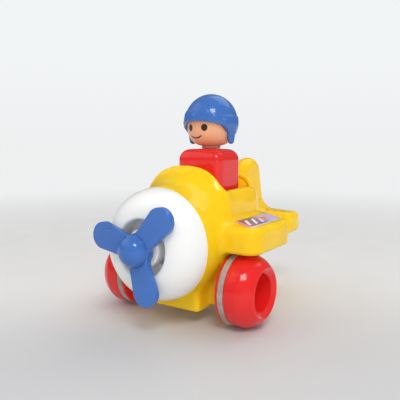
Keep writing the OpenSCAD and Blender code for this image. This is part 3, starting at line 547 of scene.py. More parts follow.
class Finish:
    """One material: its Principled shader and the helpers to wire it."""

    def __init__(self, name, colour, roughness, metallic=0.0, specular=0.5, inner=0.0,
                 inner_radius=(1, 1, 1)):
        self.material = bpy.data.materials.new(name)
        self.material.use_nodes = True
        self.n = Nodes(self.material.node_tree)
        self.shader = self.material.node_tree.nodes["Principled BSDF"]
        for key, value in (("Base Color", (*colour, 1)), ("Roughness", roughness), ("Metallic", metallic),
                           ("IOR", PLASTIC_IOR), ("Specular IOR Level", specular),
                           ("Subsurface Weight", inner), ("Subsurface Radius", inner_radius),
                           ("Subsurface Scale", LIGHT_DEPTH)):
            self.shader.inputs[key].default_value = value

    def effect(self, key, **values):
        node = self.n.add("Group")
        node.node_tree = EFFECTS[key]
        for label, value in values.items():
            node.inputs[label].default_value = value
        return node.outputs[0]

    def bump(self, height, strength, distance):
        node = self.n.add("Bump")
        node.inputs["Strength"].default_value = strength
        node.inputs["Distance"].default_value = distance
        self.n.feed(node.inputs["Height"], height)
        self.n.feed(self.shader.inputs["Normal"], node.outputs["Normal"])

    def paint(self, colour):
        self.n.feed(self.shader.inputs["Base Color"], colour)

    def dull(self, roughness):
        self.n.feed(self.shader.inputs["Roughness"], roughness)


def shade(colour, factor):
    return (colour[0] * factor, colour[1] * factor, colour[2] * factor, 1)


def toward(colour, other, share):
    return tuple(c + (o - c) * share for c, o in zip(colour[:3], other)) + (1,)


def plastic(name, colour, roughness=0.22, worn=0.5, drift=0.07, specular=0.5,
            inner=0.0, inner_radius=(1, 1, 1), painted_glow=0.0, pattern=None):
    """Coloured moulding with drift, scratches, rubbed edges and orange peel. A pattern may paint on top.
    The painted glow is the moulding's own colour given off as light. It is painted light that stands in for
    daylight coming through a thin wall."""
    f = Finish(name, colour, roughness, specular=specular, inner=inner, inner_radius=inner_radius)
    # Painted glow: the moulding's own colour is given off as light, though it is no lamp.
    f.shader.inputs["Emission Color"].default_value = (*colour, 1)
    f.shader.inputs["Emission Strength"].default_value = painted_glow
    base = f.n.mix(f.effect("drift"), shade(colour, 1 - drift), shade(colour, 1 + drift / 2))
    if pattern:
        base = pattern(f, base)
    scratch = f.effect("scratches", Amount=worn)
    rub = f.effect("rub", Amount=0.5 * worn)
    marks = f.n.math("MAXIMUM", scratch, rub)
    pale = toward(colour, (0.9, 0.9, 0.9), 0.35)
    f.paint(f.n.mix(f.n.times(marks, 0.45), base, pale))
    f.dull(f.n.math("MULTIPLY_ADD", marks, 0.35, roughness))
    f.bump(f.effect("peel"), 0.1, PEEL_HEIGHT)
    return f.material


YELLOW = (0.95, 0.6, 0.01)
WHITE = (0.86, 0.855, 0.83)
BLUE = (0.05, 0.155, 0.475)
RED = (0.76, 0.018, 0.016)
SKIN = (0.83, 0.40, 0.235)
CREAM = (0.76, 0.72, 0.6)
STEEL = (0.56, 0.57, 0.58)
OLD_OIL = (0.42, 0.37, 0.29)
# The red in this grey is partly the band's own tint and partly a painted reflection of the red wheel beside
# it.
BAND_GREY = (0.4, 0.325, 0.29)
DUST = (0.62, 0.58, 0.5)

yellow_plastic = plastic("yellow_plastic", YELLOW, 0.13, worn=0.3, specular=0.28, inner=0.5,
                         inner_radius=(1, 0.6, 0.03))
# The tray has a painted glow: an emission that brightens the shaded inside of the cockpit.
tray_painted_glow_plastic = plastic("yellow_tray_plastic", YELLOW, 0.2, worn=0.3, specular=0.28, painted_glow=0.22)
white_plastic = plastic("white_plastic", WHITE, 0.16, worn=0.3, drift=0.03)
blue_plastic = plastic("blue_plastic", BLUE, 0.15, worn=0.4, drift=0.1)
red_plastic = plastic("red_plastic", RED, 0.14, worn=0.35, drift=0.08)
nylon = plastic("cream_nylon", CREAM, 0.42, worn=0.2, drift=0.06, inner=0.1)
acetal = plastic("grey_acetal", (0.3, 0.3, 0.31), 0.38, worn=0.2)
# The neck is skin coloured. Its darker, redder colour here is painted shade and a painted reflection of the
# red torso.
neck_painted_shade_plastic = plastic("neck_painted_shade_plastic", (0.6, 0.2, 0.12), 0.35, worn=0.1)


def make_steel():
    """Plain turned steel: fine rings of roughness across the grain, and a thin film of old oil."""
    f = Finish("turned_steel", STEEL, 0.3, metallic=1.0)
    place = f.n.place()
    rings = f.n.noise(f.n.stretched(place, (2600, 300, 2600)), 1.0, 2.0)
    film = f.n.noise(place, 120.0, 3.0)
    f.dull(f.n.ramp(rings, 0.3, 0.7, 0.2, 0.42))
    f.paint(f.n.mix(f.n.ramp(film, 0.45, 0.7), shade(STEEL, 1), shade(OLD_OIL, 1)))
    f.bump(rings, 0.15, 0.00005)
    return f.material


def make_rubber():
    """Grey soft band: dull, a little dusty, with a fine grain."""
    f = Finish("grey_rubber", BAND_GREY, 0.62, specular=0.35)
    place = f.n.place()
    grain = f.n.noise(place, 1500.0, 3.0, 0.6)
    dust = f.n.ramp(f.n.noise(place, 90.0, 4.0, 0.65), 0.42, 0.7)
    f.paint(f.n.mix(dust, shade(BAND_GREY, 0.9), toward(BAND_GREY, DUST, 0.4)))
    f.dull(f.n.math("MULTIPLY_ADD", dust, 0.2, 0.58))
    f.bump(grain, 0.35, PEEL_HEIGHT)
    return f.material


turned_steel = make_steel()
grey_rubber = make_rubber()

# %% [markdown]
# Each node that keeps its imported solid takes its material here, by the name of its material slot.

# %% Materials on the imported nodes
SLOT_MATERIALS = {
    "yellow": yellow_plastic, "white": white_plastic, "blue": blue_plastic, "red": red_plastic,
    "rubber": grey_rubber, "cream": nylon, "grey_bush": acetal, "steel": turned_steel,
    "label": white_plastic,
    "skin": plastic("plain_skin", SKIN, 0.4, worn=0.1), "brown": neck_painted_shade_plastic,
}
node_slot = {row["node"]: row["material_slot"] for row in frame["record"]["subparts"]}
for name, node in frame["nodes"].items():
    node.data.materials.clear()
    node.data.materials.append(SLOT_MATERIALS[node_slot[name]])
print(len(frame["nodes"]), "packed nodes have their materials")

# %% [markdown]
# The fuselage is two forms. The nose is a round drum that grows upwards into the arch in front of the
# cockpit. The tub behind it is squarer and narrower, and runs back into the tail. Both are sections with a
# power that says how square they are: 2 is an ellipse, 3 is halfway to a box.

# %% Fuselage
nose_r = 35.6
cowl_joint = 28.0
arch_rise = 12.4
tub_half = 31.0
rear_rise = 42.5
cockpit_len = 50.0
rim_z = nose_z + 32
wall = 3.0
tub_stations = cockpit_len + np.array([-70, -50, -8, -3, 1, 5, 10, 16, 24, 34, 45, 53])
tub_widths = tub_half - np.array([1, 0, 0.3, 1.0, 2.2, 4.2, 7.8, 11.9, 15.4, 18, 19.5, 21])
tub_rises = rear_rise - np.array([-5, -5.5, -1, -0.3, 0.3, 1.2, 4.2, 10, 18, 25, 29.5, 32])
tub_drops = nose_r - np.array([1, 0, 0.5, 1.5, 2.3, 3.6, 5.4, 8, 12, 19, 26, 30])
tub_powers = np.array([3, 3, 3, 3, 3, 2.9, 2.7, 2.5, 2.3, 2.1, 2, 2])


def section(across, over, w, h, power):
    """Distance to a section |x/w|^power + |z/h|^power = 1: the excess of its root, over its slope."""
    a, b = np.abs(across) / w, np.abs(over) / h
    k = np.maximum((a ** power + b ** power) ** (1 / power), 1e-3)
    slope = np.hypot((a / k) ** (power - 1) / w, (b / k) ** (power - 1) / h)
    return (k - 1) / np.maximum(slope, 0.4 / np.maximum(w, h))


def nose_form(x, y, z):
    """Round drum whose top grows into the arch with the power 2.4 of the way back to the axle."""
    grown = arch_rise * np.clip(1 + y / cowl_joint, 0, 1) ** 2.4
    up = z - nose_z - grown
    over = np.where(up > 0, up, np.minimum(z - nose_z, 0))
    back = y - 2.5 - 6 * np.clip((z - rim_z + 4) / 4, 0, 1)
    return round_and(section(x, over, nose_r, nose_r, 2), back, 2.5)


def tub_form(x, y, z):
    """Squarer tub, drawn in towards the tail."""
    w = curve_through(y, tub_stations, tub_widths)
    high = curve_through(y, tub_stations, tub_rises)
    low = curve_through(y, tub_stations, tub_drops)
    power = curve_through(y, tub_stations, tub_powers)
    up_c = np.clip(high - nose_r, 0.5, arch_rise)
    up, down = z - nose_z - up_c, nose_z - 4 - z
    h = np.where(up > 0, high - up_c, low - 4)
    over = np.where(up > 0, up, np.maximum(down, 0))
    return round_and(section(x, over, w, h, power), slab(y, -1, tail_end - 5), 3)


def fuselage(x, y, z):
    return round_or(nose_form(x, y, z), tub_form(x, y, z), 4)


# %% [markdown]
# Wings, fin and tailplane are slabs with generous radii. Their outlines are straight lines with round
# corners, as the mould maker would set them out, and each runs into the fuselage with a hollow fillet.

# %% Wings, fin and tailplane
wing_t = 16.7
wing_corner = 10.0
wing_top_edge = 4.8
wing_low_edge = 3.0
wing_rear_edge = 2.5
wing_front = 13.5
tip_rear = 34.0
root_rear = 60.0
tail_half = 38.0
tail_chord = 23.0
tail_t = 18.5
tail_top = nose_z + 10
tail_taper = 2.0
tail_top_edge = 5.6
tail_low_edge = 2.5
tail_tip_edge = 4.4
fin_corner = 11.0
fin_half = 7.0
fin_edge = 6.8


def wing_form(x, y, z):
    """Both wings: an outline in plan with a round front corner, cut to the wing's thickness."""
    span = np.abs(x)
    front = -wing_front - y
    rear = half_plane(span, y, (wing_half, tip_rear), (tub_half, root_rear))
    edge = round_and(round_and(span - wing_half, front, wing_corner), z - deck_z, wing_top_edge)
    edge = round_and(edge, deck_z - wing_t - z, wing_low_edge)
    return round_and(edge, rear, wing_rear_edge)


def fin_form(x, y, z):
    """Fin from the side: a leaning front edge, a steeper rear edge and a round top, with soft sides."""
    front = half_plane(y, z, (71.5, fin_top - 5), (46, nose_z + 12))
    rear = half_plane(y, z, (tail_end, nose_z + 8), (tail_end - 8.4, fin_top - 9))
    side = round_and(round_and(front, z - fin_top, fin_corner), rear, fin_corner)
    side = np.maximum(side, nose_z + 2 - z)
    return round_and(side, np.abs(x) - fin_half, fin_edge)


def tail_form(x, y, z):
    """Tailplane: thinner towards its tips, with round tips."""
    top = tail_top - tail_taper * np.abs(x) / tail_half
    side = round_and(slab(y, tail_end - tail_chord, tail_end), z - top, tail_top_edge)
    side = round_and(side, tail_top - tail_t - z, tail_low_edge)
    return round_and(side, np.abs(x) - tail_half, tail_tip_edge)


# %% [markdown]
# Under the nose a flat chin and two fairings carry the front axle, and a fork holds the tail wheel.

# %% Chin, fairings and fork
chin_half = 22.0
chin_front = 18.6
chin_rear = 26.0
chin_z = axle_z - 14.0
wheel_in = 36.0
fork_y = middle("tail_wheel")[1] - axle_y
fork_z = middle("tail_wheel")[2]
fork_in = 5.2
fork_t = 3.0
fork_end_r = 4.5
wing_fillet = 4
fin_fillet = 9
tail_fillet = 5
fairing_fillet = 3
chin_fillet = 5
fork_fillet = 2


def chin_form(x, y, z):
    """Chin: a box with round corners, open upwards into the belly."""
    plan = box_field(x, y, (-chin_half, -chin_front), (chin_half, chin_rear), 3)
    return round_and(plan, slab(z, chin_z, axle_z + 8), 1.2)


def fairing_form(x, y, z):
    """Wedge from the chin out to the wheel, seen from the front."""
    span = np.abs(x)
    outer = wheel_in - 0.6
    corners = [(chin_half - 3, chin_z + 2.5), (wheel_in - 4, chin_z + 2.5), (outer, chin_z + 6),
               (outer, axle_z + 16), (tub_half - 1, axle_z + 21), (chin_half - 3, axle_z + 21)]
    return round_and(polygon(span, z, corners, 1.5), slab(y, -7, 7), 1.5)


def fork_form(x, y, z):
    """Two legs that come down beside the tail wheel and end round."""
    leg = slab(np.abs(x), fork_in, fork_in + fork_t)
    end = np.hypot(y - fork_y, np.minimum(z - fork_z, 0)) - fork_end_r
    return round_and(round_and(end, z - nose_z + 15, 1), leg, 1)


def outer_skin(x, y, z):
    """The whole outside, joined with hollow fillets."""
    body = round_or(fuselage(x, y, z), wing_form(x, y, z), wing_fillet)
    rear = round_or(tail_form(x, y, z), fin_form(x, y, z), fin_fillet)
    rear = round_and(rear, y - tail_end, 4)
    body = round_or(body, rear, tail_fillet)
    foot = round_or(chin_form(x, y, z), fairing_form(x, y, z), fairing_fillet)
    body = round_or(body, foot, chin_fillet)
    return round_or(body, fork_form(x, y, z), fork_fillet)


# %% [markdown]
# The shell is hollow, and the cockpit is cut out of its top with round lower corners. The axle's bore and
# the four screw wells go in from below. The upper and the lower moulding are the same skin, cut at the
# joint, so the line between them is as fine as on a real toy.

# %% Hollow shell and cuts
screw_places = [(tub_half - 5.6, 20), (15.5, 62)]
post_r = 3.9
well_r = 2.8
well_top = joint_z - 12
screw_hole_r = 1.5
bush_r = 4.0
pin_r = 1.5
chin_wall = 2
rim_corner = 5
rim_edge = 2.4


def hollow_form(x, y, z):
    """Inside of the shell. Where the tail tapers, a section's distance is too long, so more is taken off."""
    steep = np.clip((y - cockpit_len + 6) / 12, 0, 1)
    return np.maximum(fuselage(x, y, z) + wall + 1.4 * steep, y - tail_end + 14)


def shell(x, y, z):
    opening = box_field(y, z, (0, rim_z), (cockpit_len, rim_z + 60), rim_corner)
    solid = cut(outer_skin(x, y, z), opening, rim_edge)
    solid = cut(solid, hollow_form(x, y, z), 0.5)
    bore = np.hypot(y, z - axle_z) - bush_r
    return cut(solid, bore, 0.3)


def lower_shell(x, y, z):
    """The shell with its hollow chin, screw posts and screw wells."""
    solid = shell(x, y, z)
    inside = box_field(x, y, (chin_wall - chin_half, chin_wall - chin_front),
                       (chin_half - chin_wall, chin_rear - chin_wall), 2)
    inside = round_and(inside, slab(z, chin_z + chin_wall, axle_z + 10), 0.5)
    solid = cut(solid, inside, 0.5)
    span = np.abs(x)
    for sx, sy in screw_places:
        away = np.hypot(span - sx, y - sy)
        post = np.maximum(round_and(away - post_r, z - joint_z, 0.2), fuselage(x, y, z) + 0.3)
        solid = round_or(solid, post, 0.6)
        solid = cut(solid, np.maximum(away - well_r, z - well_top), 0.3)
        solid = cut(solid, away - screw_hole_r, 0.1)
    pin = np.hypot(y - fork_y, z - fork_z) - pin_r
    return cut(solid, np.maximum(pin, span - 12), 0.1)


# %% Upper body
step = 0.95
spare = 2.4
FAR = 300
# Under the tailplane the joint is lower, so that the whole tailplane belongs to the upper moulding
tail_joint_y = tail_end - tail_chord - 2
tail_joint_z = tail_top - tail_t - 1


def blank(solid, past_joint, y):
    """A moulding that ends a little past its joints, where it is closed, so that it can be cut there."""
    return np.maximum(solid, np.maximum(past_joint, -cowl_joint - y) - spare)


def upper_blank(x, y, z):
    return blank(shell(x, y, z), np.where(y > tail_joint_y - 3, tail_joint_z, joint_z) - z, y)


def lower_blank(x, y, z):
    return blank(lower_shell(x, y, z), z - joint_z, y)


rim_planes = ((), (0, cockpit_len), (rim_z,))
upper = field_piece("upper_moulding", upper_blank, (-61, -32, tail_joint_z - 4),
                    (61, tail_end + 1, fin_top + 1), step, rim_planes)
carve(upper, box_mesh((-FAR, -FAR, -FAR), (FAR, tail_joint_y, joint_z)))
carve(upper, box_mesh((-FAR, -FAR, -FAR), (FAR, FAR, tail_joint_z)))
carve(upper, box_mesh((-FAR, -FAR, -FAR), (FAR, -cowl_joint, FAR)))
finish_piece(upper, "toy_body", yellow_plastic, "upper_body")

# %% Lower body
lower = field_piece("lower_moulding", lower_blank, (-40, -32, 3), (40, tail_end + 1, joint_z + 4), step)
carve(lower, box_mesh((-FAR, -FAR, joint_z), (FAR, FAR, FAR)))
carve(lower, box_mesh((-FAR, tail_joint_y, tail_joint_z), (FAR, FAR, FAR)))
carve(lower, box_mesh((-FAR, -FAR, -FAR), (FAR, -cowl_joint, FAR)))
finish_piece(lower, "toy_body", yellow_plastic, "lower_body")

# %% [markdown]
# The cockpit's floor is a plate with the opening for the pilot, and a bulkhead stands at each end of it.

# %% Cockpit floor
floor_z = low_high("cockpit_floor")[0][2]
slide_fit = 0.4
floor_t = 2
bulkhead_front = -2.3
bulkhead_rear = cockpit_len + 2.2
bulkhead_t = 1.8


def floor_form(x, y, z):
    plate = slab(z, floor_z, floor_z + floor_t)
    walls = np.minimum(slab(y, bulkhead_front, bulkhead_front + bulkhead_t),
                       slab(y, bulkhead_rear - bulkhead_t, bulkhead_rear))
    both = round_or(plate, np.maximum(walls, floor_z - z), 1.2)
    inside = np.maximum(fuselage(x, y, z) + wall - 0.3, slab(y, bulkhead_front, bulkhead_rear))
    both = np.maximum(both, inside)
    room = box_field(x, y, torso_low - slide_fit, torso_high + slide_fit, 5)
    return cut(both, room, 0.4)


floor_piece = field_piece("cockpit_tray", floor_form, (-32, -4, floor_z - 1.5),
                          (32, cockpit_len + 4, 102), step * 0.9)
# The tray's material glows with painted light that brightens the shaded cockpit.
finish_piece(floor_piece, "toy_body", tray_painted_glow_plastic, "cockpit_floor")

# %% [markdown]
# The cowl is a turned form: an elliptic dome that rolls over a round lip into a straight recess, with a
# raised boss in the middle. One profile goes round the nose axis. A small slot goes through the recess's
# floor beside the boss.

# %% Nose cowl
cowl_r = low_high("nose_cowl")[1][0]
mouth_r = 17.5
recess_y = mouth_y + 10
boss_y = recess_y - 8.5
lip = 1.8
dome = np.radians(np.linspace(0, 86, 44))
roll = np.radians(np.linspace(0, 90, 10))
cowl_len = -cowl_joint - mouth_y
bush_hole = 3.2
profile = np.concatenate([
    np.stack([mouth_r + lip + (cowl_r - mouth_r - lip) * np.cos(dome),
              -cowl_joint - cowl_len * np.sin(dome)], -1),
    np.stack([mouth_r + lip - lip * np.sin(roll), mouth_y + lip - lip * np.cos(roll)], -1),
    rounded([(mouth_r, recess_y, 1.2), (12, recess_y, 0.8), (12, boss_y, 1.2), (bush_hole, boss_y, 0.4),
             (bush_hole, recess_y + 2.2, 0), (mouth_r + 2.2, recess_y + 2.2, 1),
             (cowl_r - 3, -cowl_joint - 6, 1),
             (cowl_r - 3, -cowl_joint + 3.6, 0.4), (cowl_r - 1.9, -cowl_joint + 3.6, 0.4),
             (cowl_r - 1.9, -cowl_joint, 0), (cowl_r - 0.4, -cowl_joint, 0)], 8),
])
cowl = spun("white_cowl", profile[:, 0], profile[:, 1], "y", (0, 0, nose_z), 160)
carve(cowl, box_mesh((8.6, recess_y - 0.5, nose_z - 12), (12.4, recess_y + 3, nose_z - 6.8)))
finish_piece(cowl, "toy_body", white_plastic, "nose_cowl")

# %% [markdown]
# The propeller has three thick round-ended blades on a short hub. Each blade is an outline that widens
# towards its tip, with soft edges, turned a few degrees about its own length. The domed cap is a separate
# spun piece with a thin rim.

# %% Propeller
hub_low, hub_high = low_high("hub_cap")
cap_y = hub_high[1]
cap_tip = hub_low[1]
hub_r = hub_high[0]
hub_len = 6.2
prop_r = 34.0
blade_w = 16.8
blade_t = 5.0
blade_y = cap_y + 2.05
blade_pitch = math.radians(1)
blade_turns = [math.radians(45.4 + 120 * k) for k in range(3)]


def blade_form(x, y, z, turn):
    """One blade: width grows from 0.4 to 0.5 of blade_w along the blade, and its end is round."""
    u = x * math.cos(turn) + z * math.sin(turn)
    v = -x * math.sin(turn) + z * math.cos(turn)
    w = y - blade_y
    c, s = math.cos(blade_pitch), math.sin(blade_pitch)
    v, w = v * c - w * s, v * s + w * c
    end_r = blade_w / 2
    tip = prop_r - end_r
    half = end_r * (0.8 + 0.2 * np.clip((u - 6) / (tip - 6), 0, 1) ** 1.2)
    outline = np.where(u > tip, np.hypot(u - tip, v) - end_r, np.maximum(np.abs(v) - half, -u))
    return round_and(outline, np.abs(w) - blade_t / 2, 1.1)


def prop_form(x, y, z):
    z = z - nose_z
    hub = round_and(np.hypot(x, z) - hub_r + 0.2, slab(y, cap_y, cap_y + hub_len), 0.8)
    blades = np.minimum.reduce([blade_form(x, y, z, turn) for turn in blade_turns])
    solid = round_or(hub, blades, 2)
    solid = np.maximum(solid, -np.maximum(np.hypot(x, z) - hub_r - 0.1, y - cap_y))
    return cut(solid, np.maximum(np.hypot(x, z) - 1.55, cap_y + 0.8 - y), 0.1)


propeller = field_piece("three_blades", prop_form, (-36, blade_y - 6, nose_z - 36),
                        (36, cap_y + hub_len + 1, nose_z + 36), 0.45)
finish_piece(propeller, "propeller_shaft", blue_plastic, "propeller")

# %% Propeller cap
quarter = np.radians(np.linspace(0, 90, 30))
cap_len = cap_y - cap_tip
cap_profile = np.concatenate([
    rounded([(0, cap_y, 0), (hub_r, cap_y, 0.2), (hub_r, cap_y - 0.7, 0.25),
             (hub_r - 0.35, cap_y - 0.75, 0.1)], 5),
    np.stack([(hub_r - 0.35) * np.cos(quarter), cap_y - 0.8 - (cap_len - 0.8) * np.sin(quarter)], -1),
])
cap = spun("round_cap", cap_profile[:, 0], cap_profile[:, 1], "y", (0, 0, nose_z), 96, closed=False)
finish_piece(cap, "propeller_shaft", blue_plastic, "hub_cap")

# %% [markdown]
# A front wheel is one spun profile: an inner flange, the seat of the grey band, a tread that curves down to
# a round lip, a slope inwards and a deep straight recess. The band is a second spun piece in that seat.

# %% Front wheels
wheel_w = 23.6
band_in = 1.9
band_w = 4.0
lip_r = 15.6
recess_r = 11.7
recess_depth = 15.6
shoulder = 10.1
shoulder_power = 1.4
lip_in = 2.2
tread_r = wheel_r - 0.1


def wheel_profile():
    """Radius and distance outwards of the wheel's closed half section."""
    t = np.radians(np.linspace(0, 90, 40))
    back = np.linspace(0.05, 1, 20)
    seat = wheel_r - 2.2
    edge = band_in + band_w
    floor_x = wheel_w - recess_depth
    inner = rounded([(2.1, 0, 0), (wheel_r - 0.6, 0, 0.8), (wheel_r - 0.6, band_in, 0.3),
                     (seat, band_in, 0.1), (seat, edge, 0.1), (wheel_r - 0.7, edge, 0.3),
                     (wheel_r - 0.7, edge + 0.6, 0.2),
                     (tread_r, edge + 1.0, 0.5)], 6)
    shoulder_curve = np.stack([lip_r + (tread_r - lip_r) * np.cos(t) ** (2 / shoulder_power),
                               wheel_w - shoulder + shoulder * np.sin(t) ** (2 / shoulder_power)], -1)
    slope = np.stack([lip_r - (lip_r - recess_r) * back, wheel_w - lip_in * back ** 1.25], -1)
    deep = rounded([(recess_r - 0.05, wheel_w - 2.6, 0), (recess_r - 0.1, floor_x, 1.2), (4.6, floor_x, 0.6),
                    (4.6, floor_x + 1.6, 0.5), (2.1, floor_x + 1.6, 0.2)], 8)
    return np.concatenate([inner, shoulder_curve, slope, deep])


def mirrored(profile, side):
    return profile[:, 0], side * (wheel_in + profile[:, 1])


band_out = band_in + band_w
band_profile = rounded([(wheel_r - 2.15, band_in + 0.05, 0.1), (wheel_r - 0.1, band_in + 0.1, 0.7),
                        (wheel_r - 0.1, band_out - 0.1, 0.7), (wheel_r - 2.15, band_out - 0.05, 0.1)], 8)
SIDES = ((1, "left"), (-1, "right"))
for side, label in SIDES:
    wheel = spun("front_wheel_" + label, *mirrored(wheel_profile(), side), "x", (0, 0, axle_z), 160)
    finish_piece(wheel, "front_wheels", red_plastic, "wheel_" + label)
    band = spun("grey_band_" + label, *mirrored(band_profile, side), "x", (0, 0, axle_z), 160)
    finish_piece(band, "front_wheels", grey_rubber, "tyre_band_" + label)

# %% Tail wheel
tail_low, tail_high = low_high("tail_wheel")
tail_r = (tail_high[2] - tail_low[2]) / 2
tail_w = tail_high[0] - tail_low[0]
tail_half_profile = [(tail_r, tail_w / 2, 1.2), (7.4, tail_w / 2, 0.3), (7, tail_w / 2 - 0.8, 0.3),
                     (4.4, tail_w / 2 - 0.8, 0.3), (4, tail_w / 2, 0.2), (1.6, tail_w / 2, 0.2)]
tail_profile = rounded([(r, -a, edge) for r, a, edge in tail_half_profile[::-1]] + tail_half_profile, 6)
tail = spun("small_wheel", tail_profile[:, 0], tail_profile[:, 1], "x", (0, fork_y, fork_z), 96)
finish_piece(tail, "rear_wheel", red_plastic, "tail_wheel")

# %% [markdown]
# The pilot is a red block with soft edges, a flesh coloured head and a blue helmet. The head is a ball that
# is a little squarer than a sphere, so its cheeks stay full down to the jaw.

# %% Pilot's torso
torso_mid = (torso_low + torso_high) / 2
crown = 1.6
torso_wall = 2.6


def torso_form(x, y, z):
    """Block with soft upright edges, and a slightly domed top with a large radius to the sides."""
    plan = box_field(x, y, torso_low, torso_high, 6)
    u, v = (x - torso_mid[0]) / torso_high[0], (y - torso_mid[1]) / torso_high[0]
    block = round_and(plan, z - torso_high[2] + crown * np.minimum(u * u + v * v, 2) / 2, 7)
    solid = np.maximum(block, torso_low[2] - z)
    room = box_field(x, y, torso_low[:2] + torso_wall, torso_high[:2] - torso_wall, 3)
    return cut(solid, np.maximum(room, z - torso_high[2] + 11), 0.4)


torso = field_piece("red_torso", torso_form, torso_low - 1.2, torso_high + 1.2, 0.8)
finish_piece(torso, "pilot", red_plastic, "pilot_torso")

# %% Pilot's neck and head
helmet_r = helmet_high[0]
head_r = helmet_r - 2.5
head_y = (helmet_low[1] + helmet_high[1]) / 2
head_z = helmet_high[2] - helmet_r
jaw_power = 2.9
face_turn = math.radians(-5)
neck_r = 6.5
peg_r = 4.0


def head_ball(x, y, z):
    """Round above the middle. Below it, (r / R)^p + (z / R)^p = 1 gives full cheeks and a flat jaw."""
    jaw = section(np.hypot(x, y), z, head_r, head_r - 0.3, jaw_power)
    return np.where(z > 0, np.sqrt(x * x + y * y + z * z) - head_r, jaw)


def head_form(x, y, z):
    y, z = y - head_y, z - head_z
    socket = np.maximum(np.hypot(x, y) - neck_r - 0.2, z + head_r - 1.7)
    return cut(head_ball(x, y, z), socket, 0.4)


head = field_piece("pilot_ball_head", head_form, (-18, head_y - 18, head_z - 18),
                   (18, head_y + 18, head_z + 18), 0.7)

neck_low, neck_high = low_high("neck_peg")
collar_z = torso_high[2] + 0.02
collar_top = torso_high[2] + 2.3
neck_profile = rounded([(0, neck_low[2], 0), (peg_r, neck_low[2], 0.3), (peg_r, collar_z, 0),
                        (neck_r, collar_z, 0),
                        (neck_r, collar_top, 0.3), (peg_r, collar_top, 0), (peg_r, neck_high[2], 0.3),
                        (0, neck_high[2], 0)], 5)
neck = spun("neck_post", neck_profile[:, 0], neck_profile[:, 1], "z", (0, head_y, 0), 64, closed=False)
# The neck's darker, redder colour is painted shade and a painted red reflection from the torso.
finish_piece(neck, "pilot", neck_painted_shade_plastic, "neck_peg")

# %% [markdown]
# The face is printed: two round eyes and a smile in dark brown. The material finds its place on the ball by
# two angles, round the head and up from its middle, so the print keeps its shape on the curve.

# %% Printed face
EYE_TURN = math.radians(20.5)
EYE_DROP = math.radians(-13)
EYE_SIZE = math.radians(8.2)
SMILE_TURN = math.radians(-6)
SMILE_DROP = math.radians(-7.5)
SMILE_R = math.radians(28.5)
SMILE_DEPTH = math.radians(6)
SMILE_LINE = math.radians(2.1)
PRINT = (0.03, 0.008, 0.006, 1)


def printed_face(f, base):
    """Masks of the print: discs and an arc in the plane of the two angles."""
    n = f.n
    centred = n.add("VectorMath", operation="SUBTRACT")
    n.feed(centred.inputs[0], n.place())
    centred.inputs[1].default_value = (0, (head_y + axle_y) * MM, head_z * MM)
    x, y, z = n.split(centred.outputs[0])
    turn = n.minus(n.math("ARCTAN2", x, n.times(y, -1)), face_turn)
    rise = n.math("ARCTAN2", z, n.length(x, y))
    eyes = []
    for side in (-1, 1):
        away = n.length(n.minus(turn, side * EYE_TURN), n.minus(rise, EYE_DROP))
        eyes.append(n.ramp(away, EYE_SIZE, EYE_SIZE * 0.93))
    over = n.minus(rise, SMILE_DROP)
    ring = n.length(n.minus(turn, SMILE_TURN), over)
    arc = n.ramp(n.math("ABSOLUTE", n.minus(ring, SMILE_R)), SMILE_LINE, SMILE_LINE * 0.6)
    end = SMILE_R - SMILE_DEPTH
    smile = n.times(arc, n.ramp(over, -end + 0.01, -end - 0.02))
    return n.mix(n.math("MAXIMUM", n.math("MAXIMUM", *eyes), smile), base, PRINT)


skin_plastic = plastic("skin_plastic", SKIN, 0.4, worn=0.1, drift=0.05, inner=0.15,
                       inner_radius=(1, 0.35, 0.2),
                       pattern=printed_face)
finish_piece(head, "head", skin_plastic, "pilot_head")

# %% [markdown]
# The helmet is a thin dome with a raised band round it, two round goggle glasses moulded over the brow, and a
# flap over each ear. Its edge is highest over the nose and drops towards the ears. A flap is a tongue with
# a wider lobe above it.

# %% Helmet
dome_r = helmet_r - 0.6
goggle_x = 6.2
goggle_z = 2.6
goggle_r = 5.9
tongue_corners = [(-1.6, -15.0), (2.3, -15.0), (4.6, -6.0), (4.6, 2.0), (-3.8, 2.0), (-3.9, -8.0)]
lobe_corners = [(-4.1, -7.8), (4.0, -7.8), (4.0, 2.0), (-8.8, 2.0), (-8.8, -2.6)]


def brow_edge(x, y):
    """Height of the helmet's edge: level over the eyes, falling past the temples to the nape."""
    turn = np.degrees(np.abs(np.arctan2(x, -y)))
    return np.maximum(0.3 - 0.0019 * np.clip(turn - 8, 0, None) ** 1.85, -7.8)


def helmet_form(x, y, z):
    y, z = y - head_y, z - head_z
    c, s = math.cos(-face_turn), math.sin(-face_turn)
    x, y = x * c - y * s, x * s + y * c
    ball = np.sqrt(x * x + y * y + z * z)
    dome = np.sqrt(x * x + y * y + (z * dome_r / (helmet_r + 0.4)) ** 2) - dome_r
    band = round_and(ball - helmet_r + 0.05, z - 4.3, 0.4)
    solid = round_or(np.where(z > 0, dome, ball - dome_r), band, 0.4)
    for side in (-1, 1):
        turn = side * math.asin(goggle_x / helmet_r)
        over, out = x * math.cos(turn) + y * math.sin(turn), x * math.sin(turn) - y * math.cos(turn)
        glass = np.hypot(over, z - goggle_z) - goggle_r
        glass = round_and(glass, np.maximum(out - helmet_r + 0.15, 10 - out), 1.2)
        solid = round_or(solid, round_and(glass, 0.3 - z, 0.4), 0.8)
    below = brow_edge(x, y) - z
    solid = round_and(solid, below, 0.45)
    flap = np.minimum(polygon(y, z, tongue_corners, 1.9), polygon(y, z, lobe_corners, 1.9))
    flap = round_and(flap, slab(np.abs(x), 15.6, dome_r - 0.5), 0.9)
    solid = round_or(solid, flap, 2.2)
    return cut(solid, head_ball(x, y, z) - 0.25, 0.3)


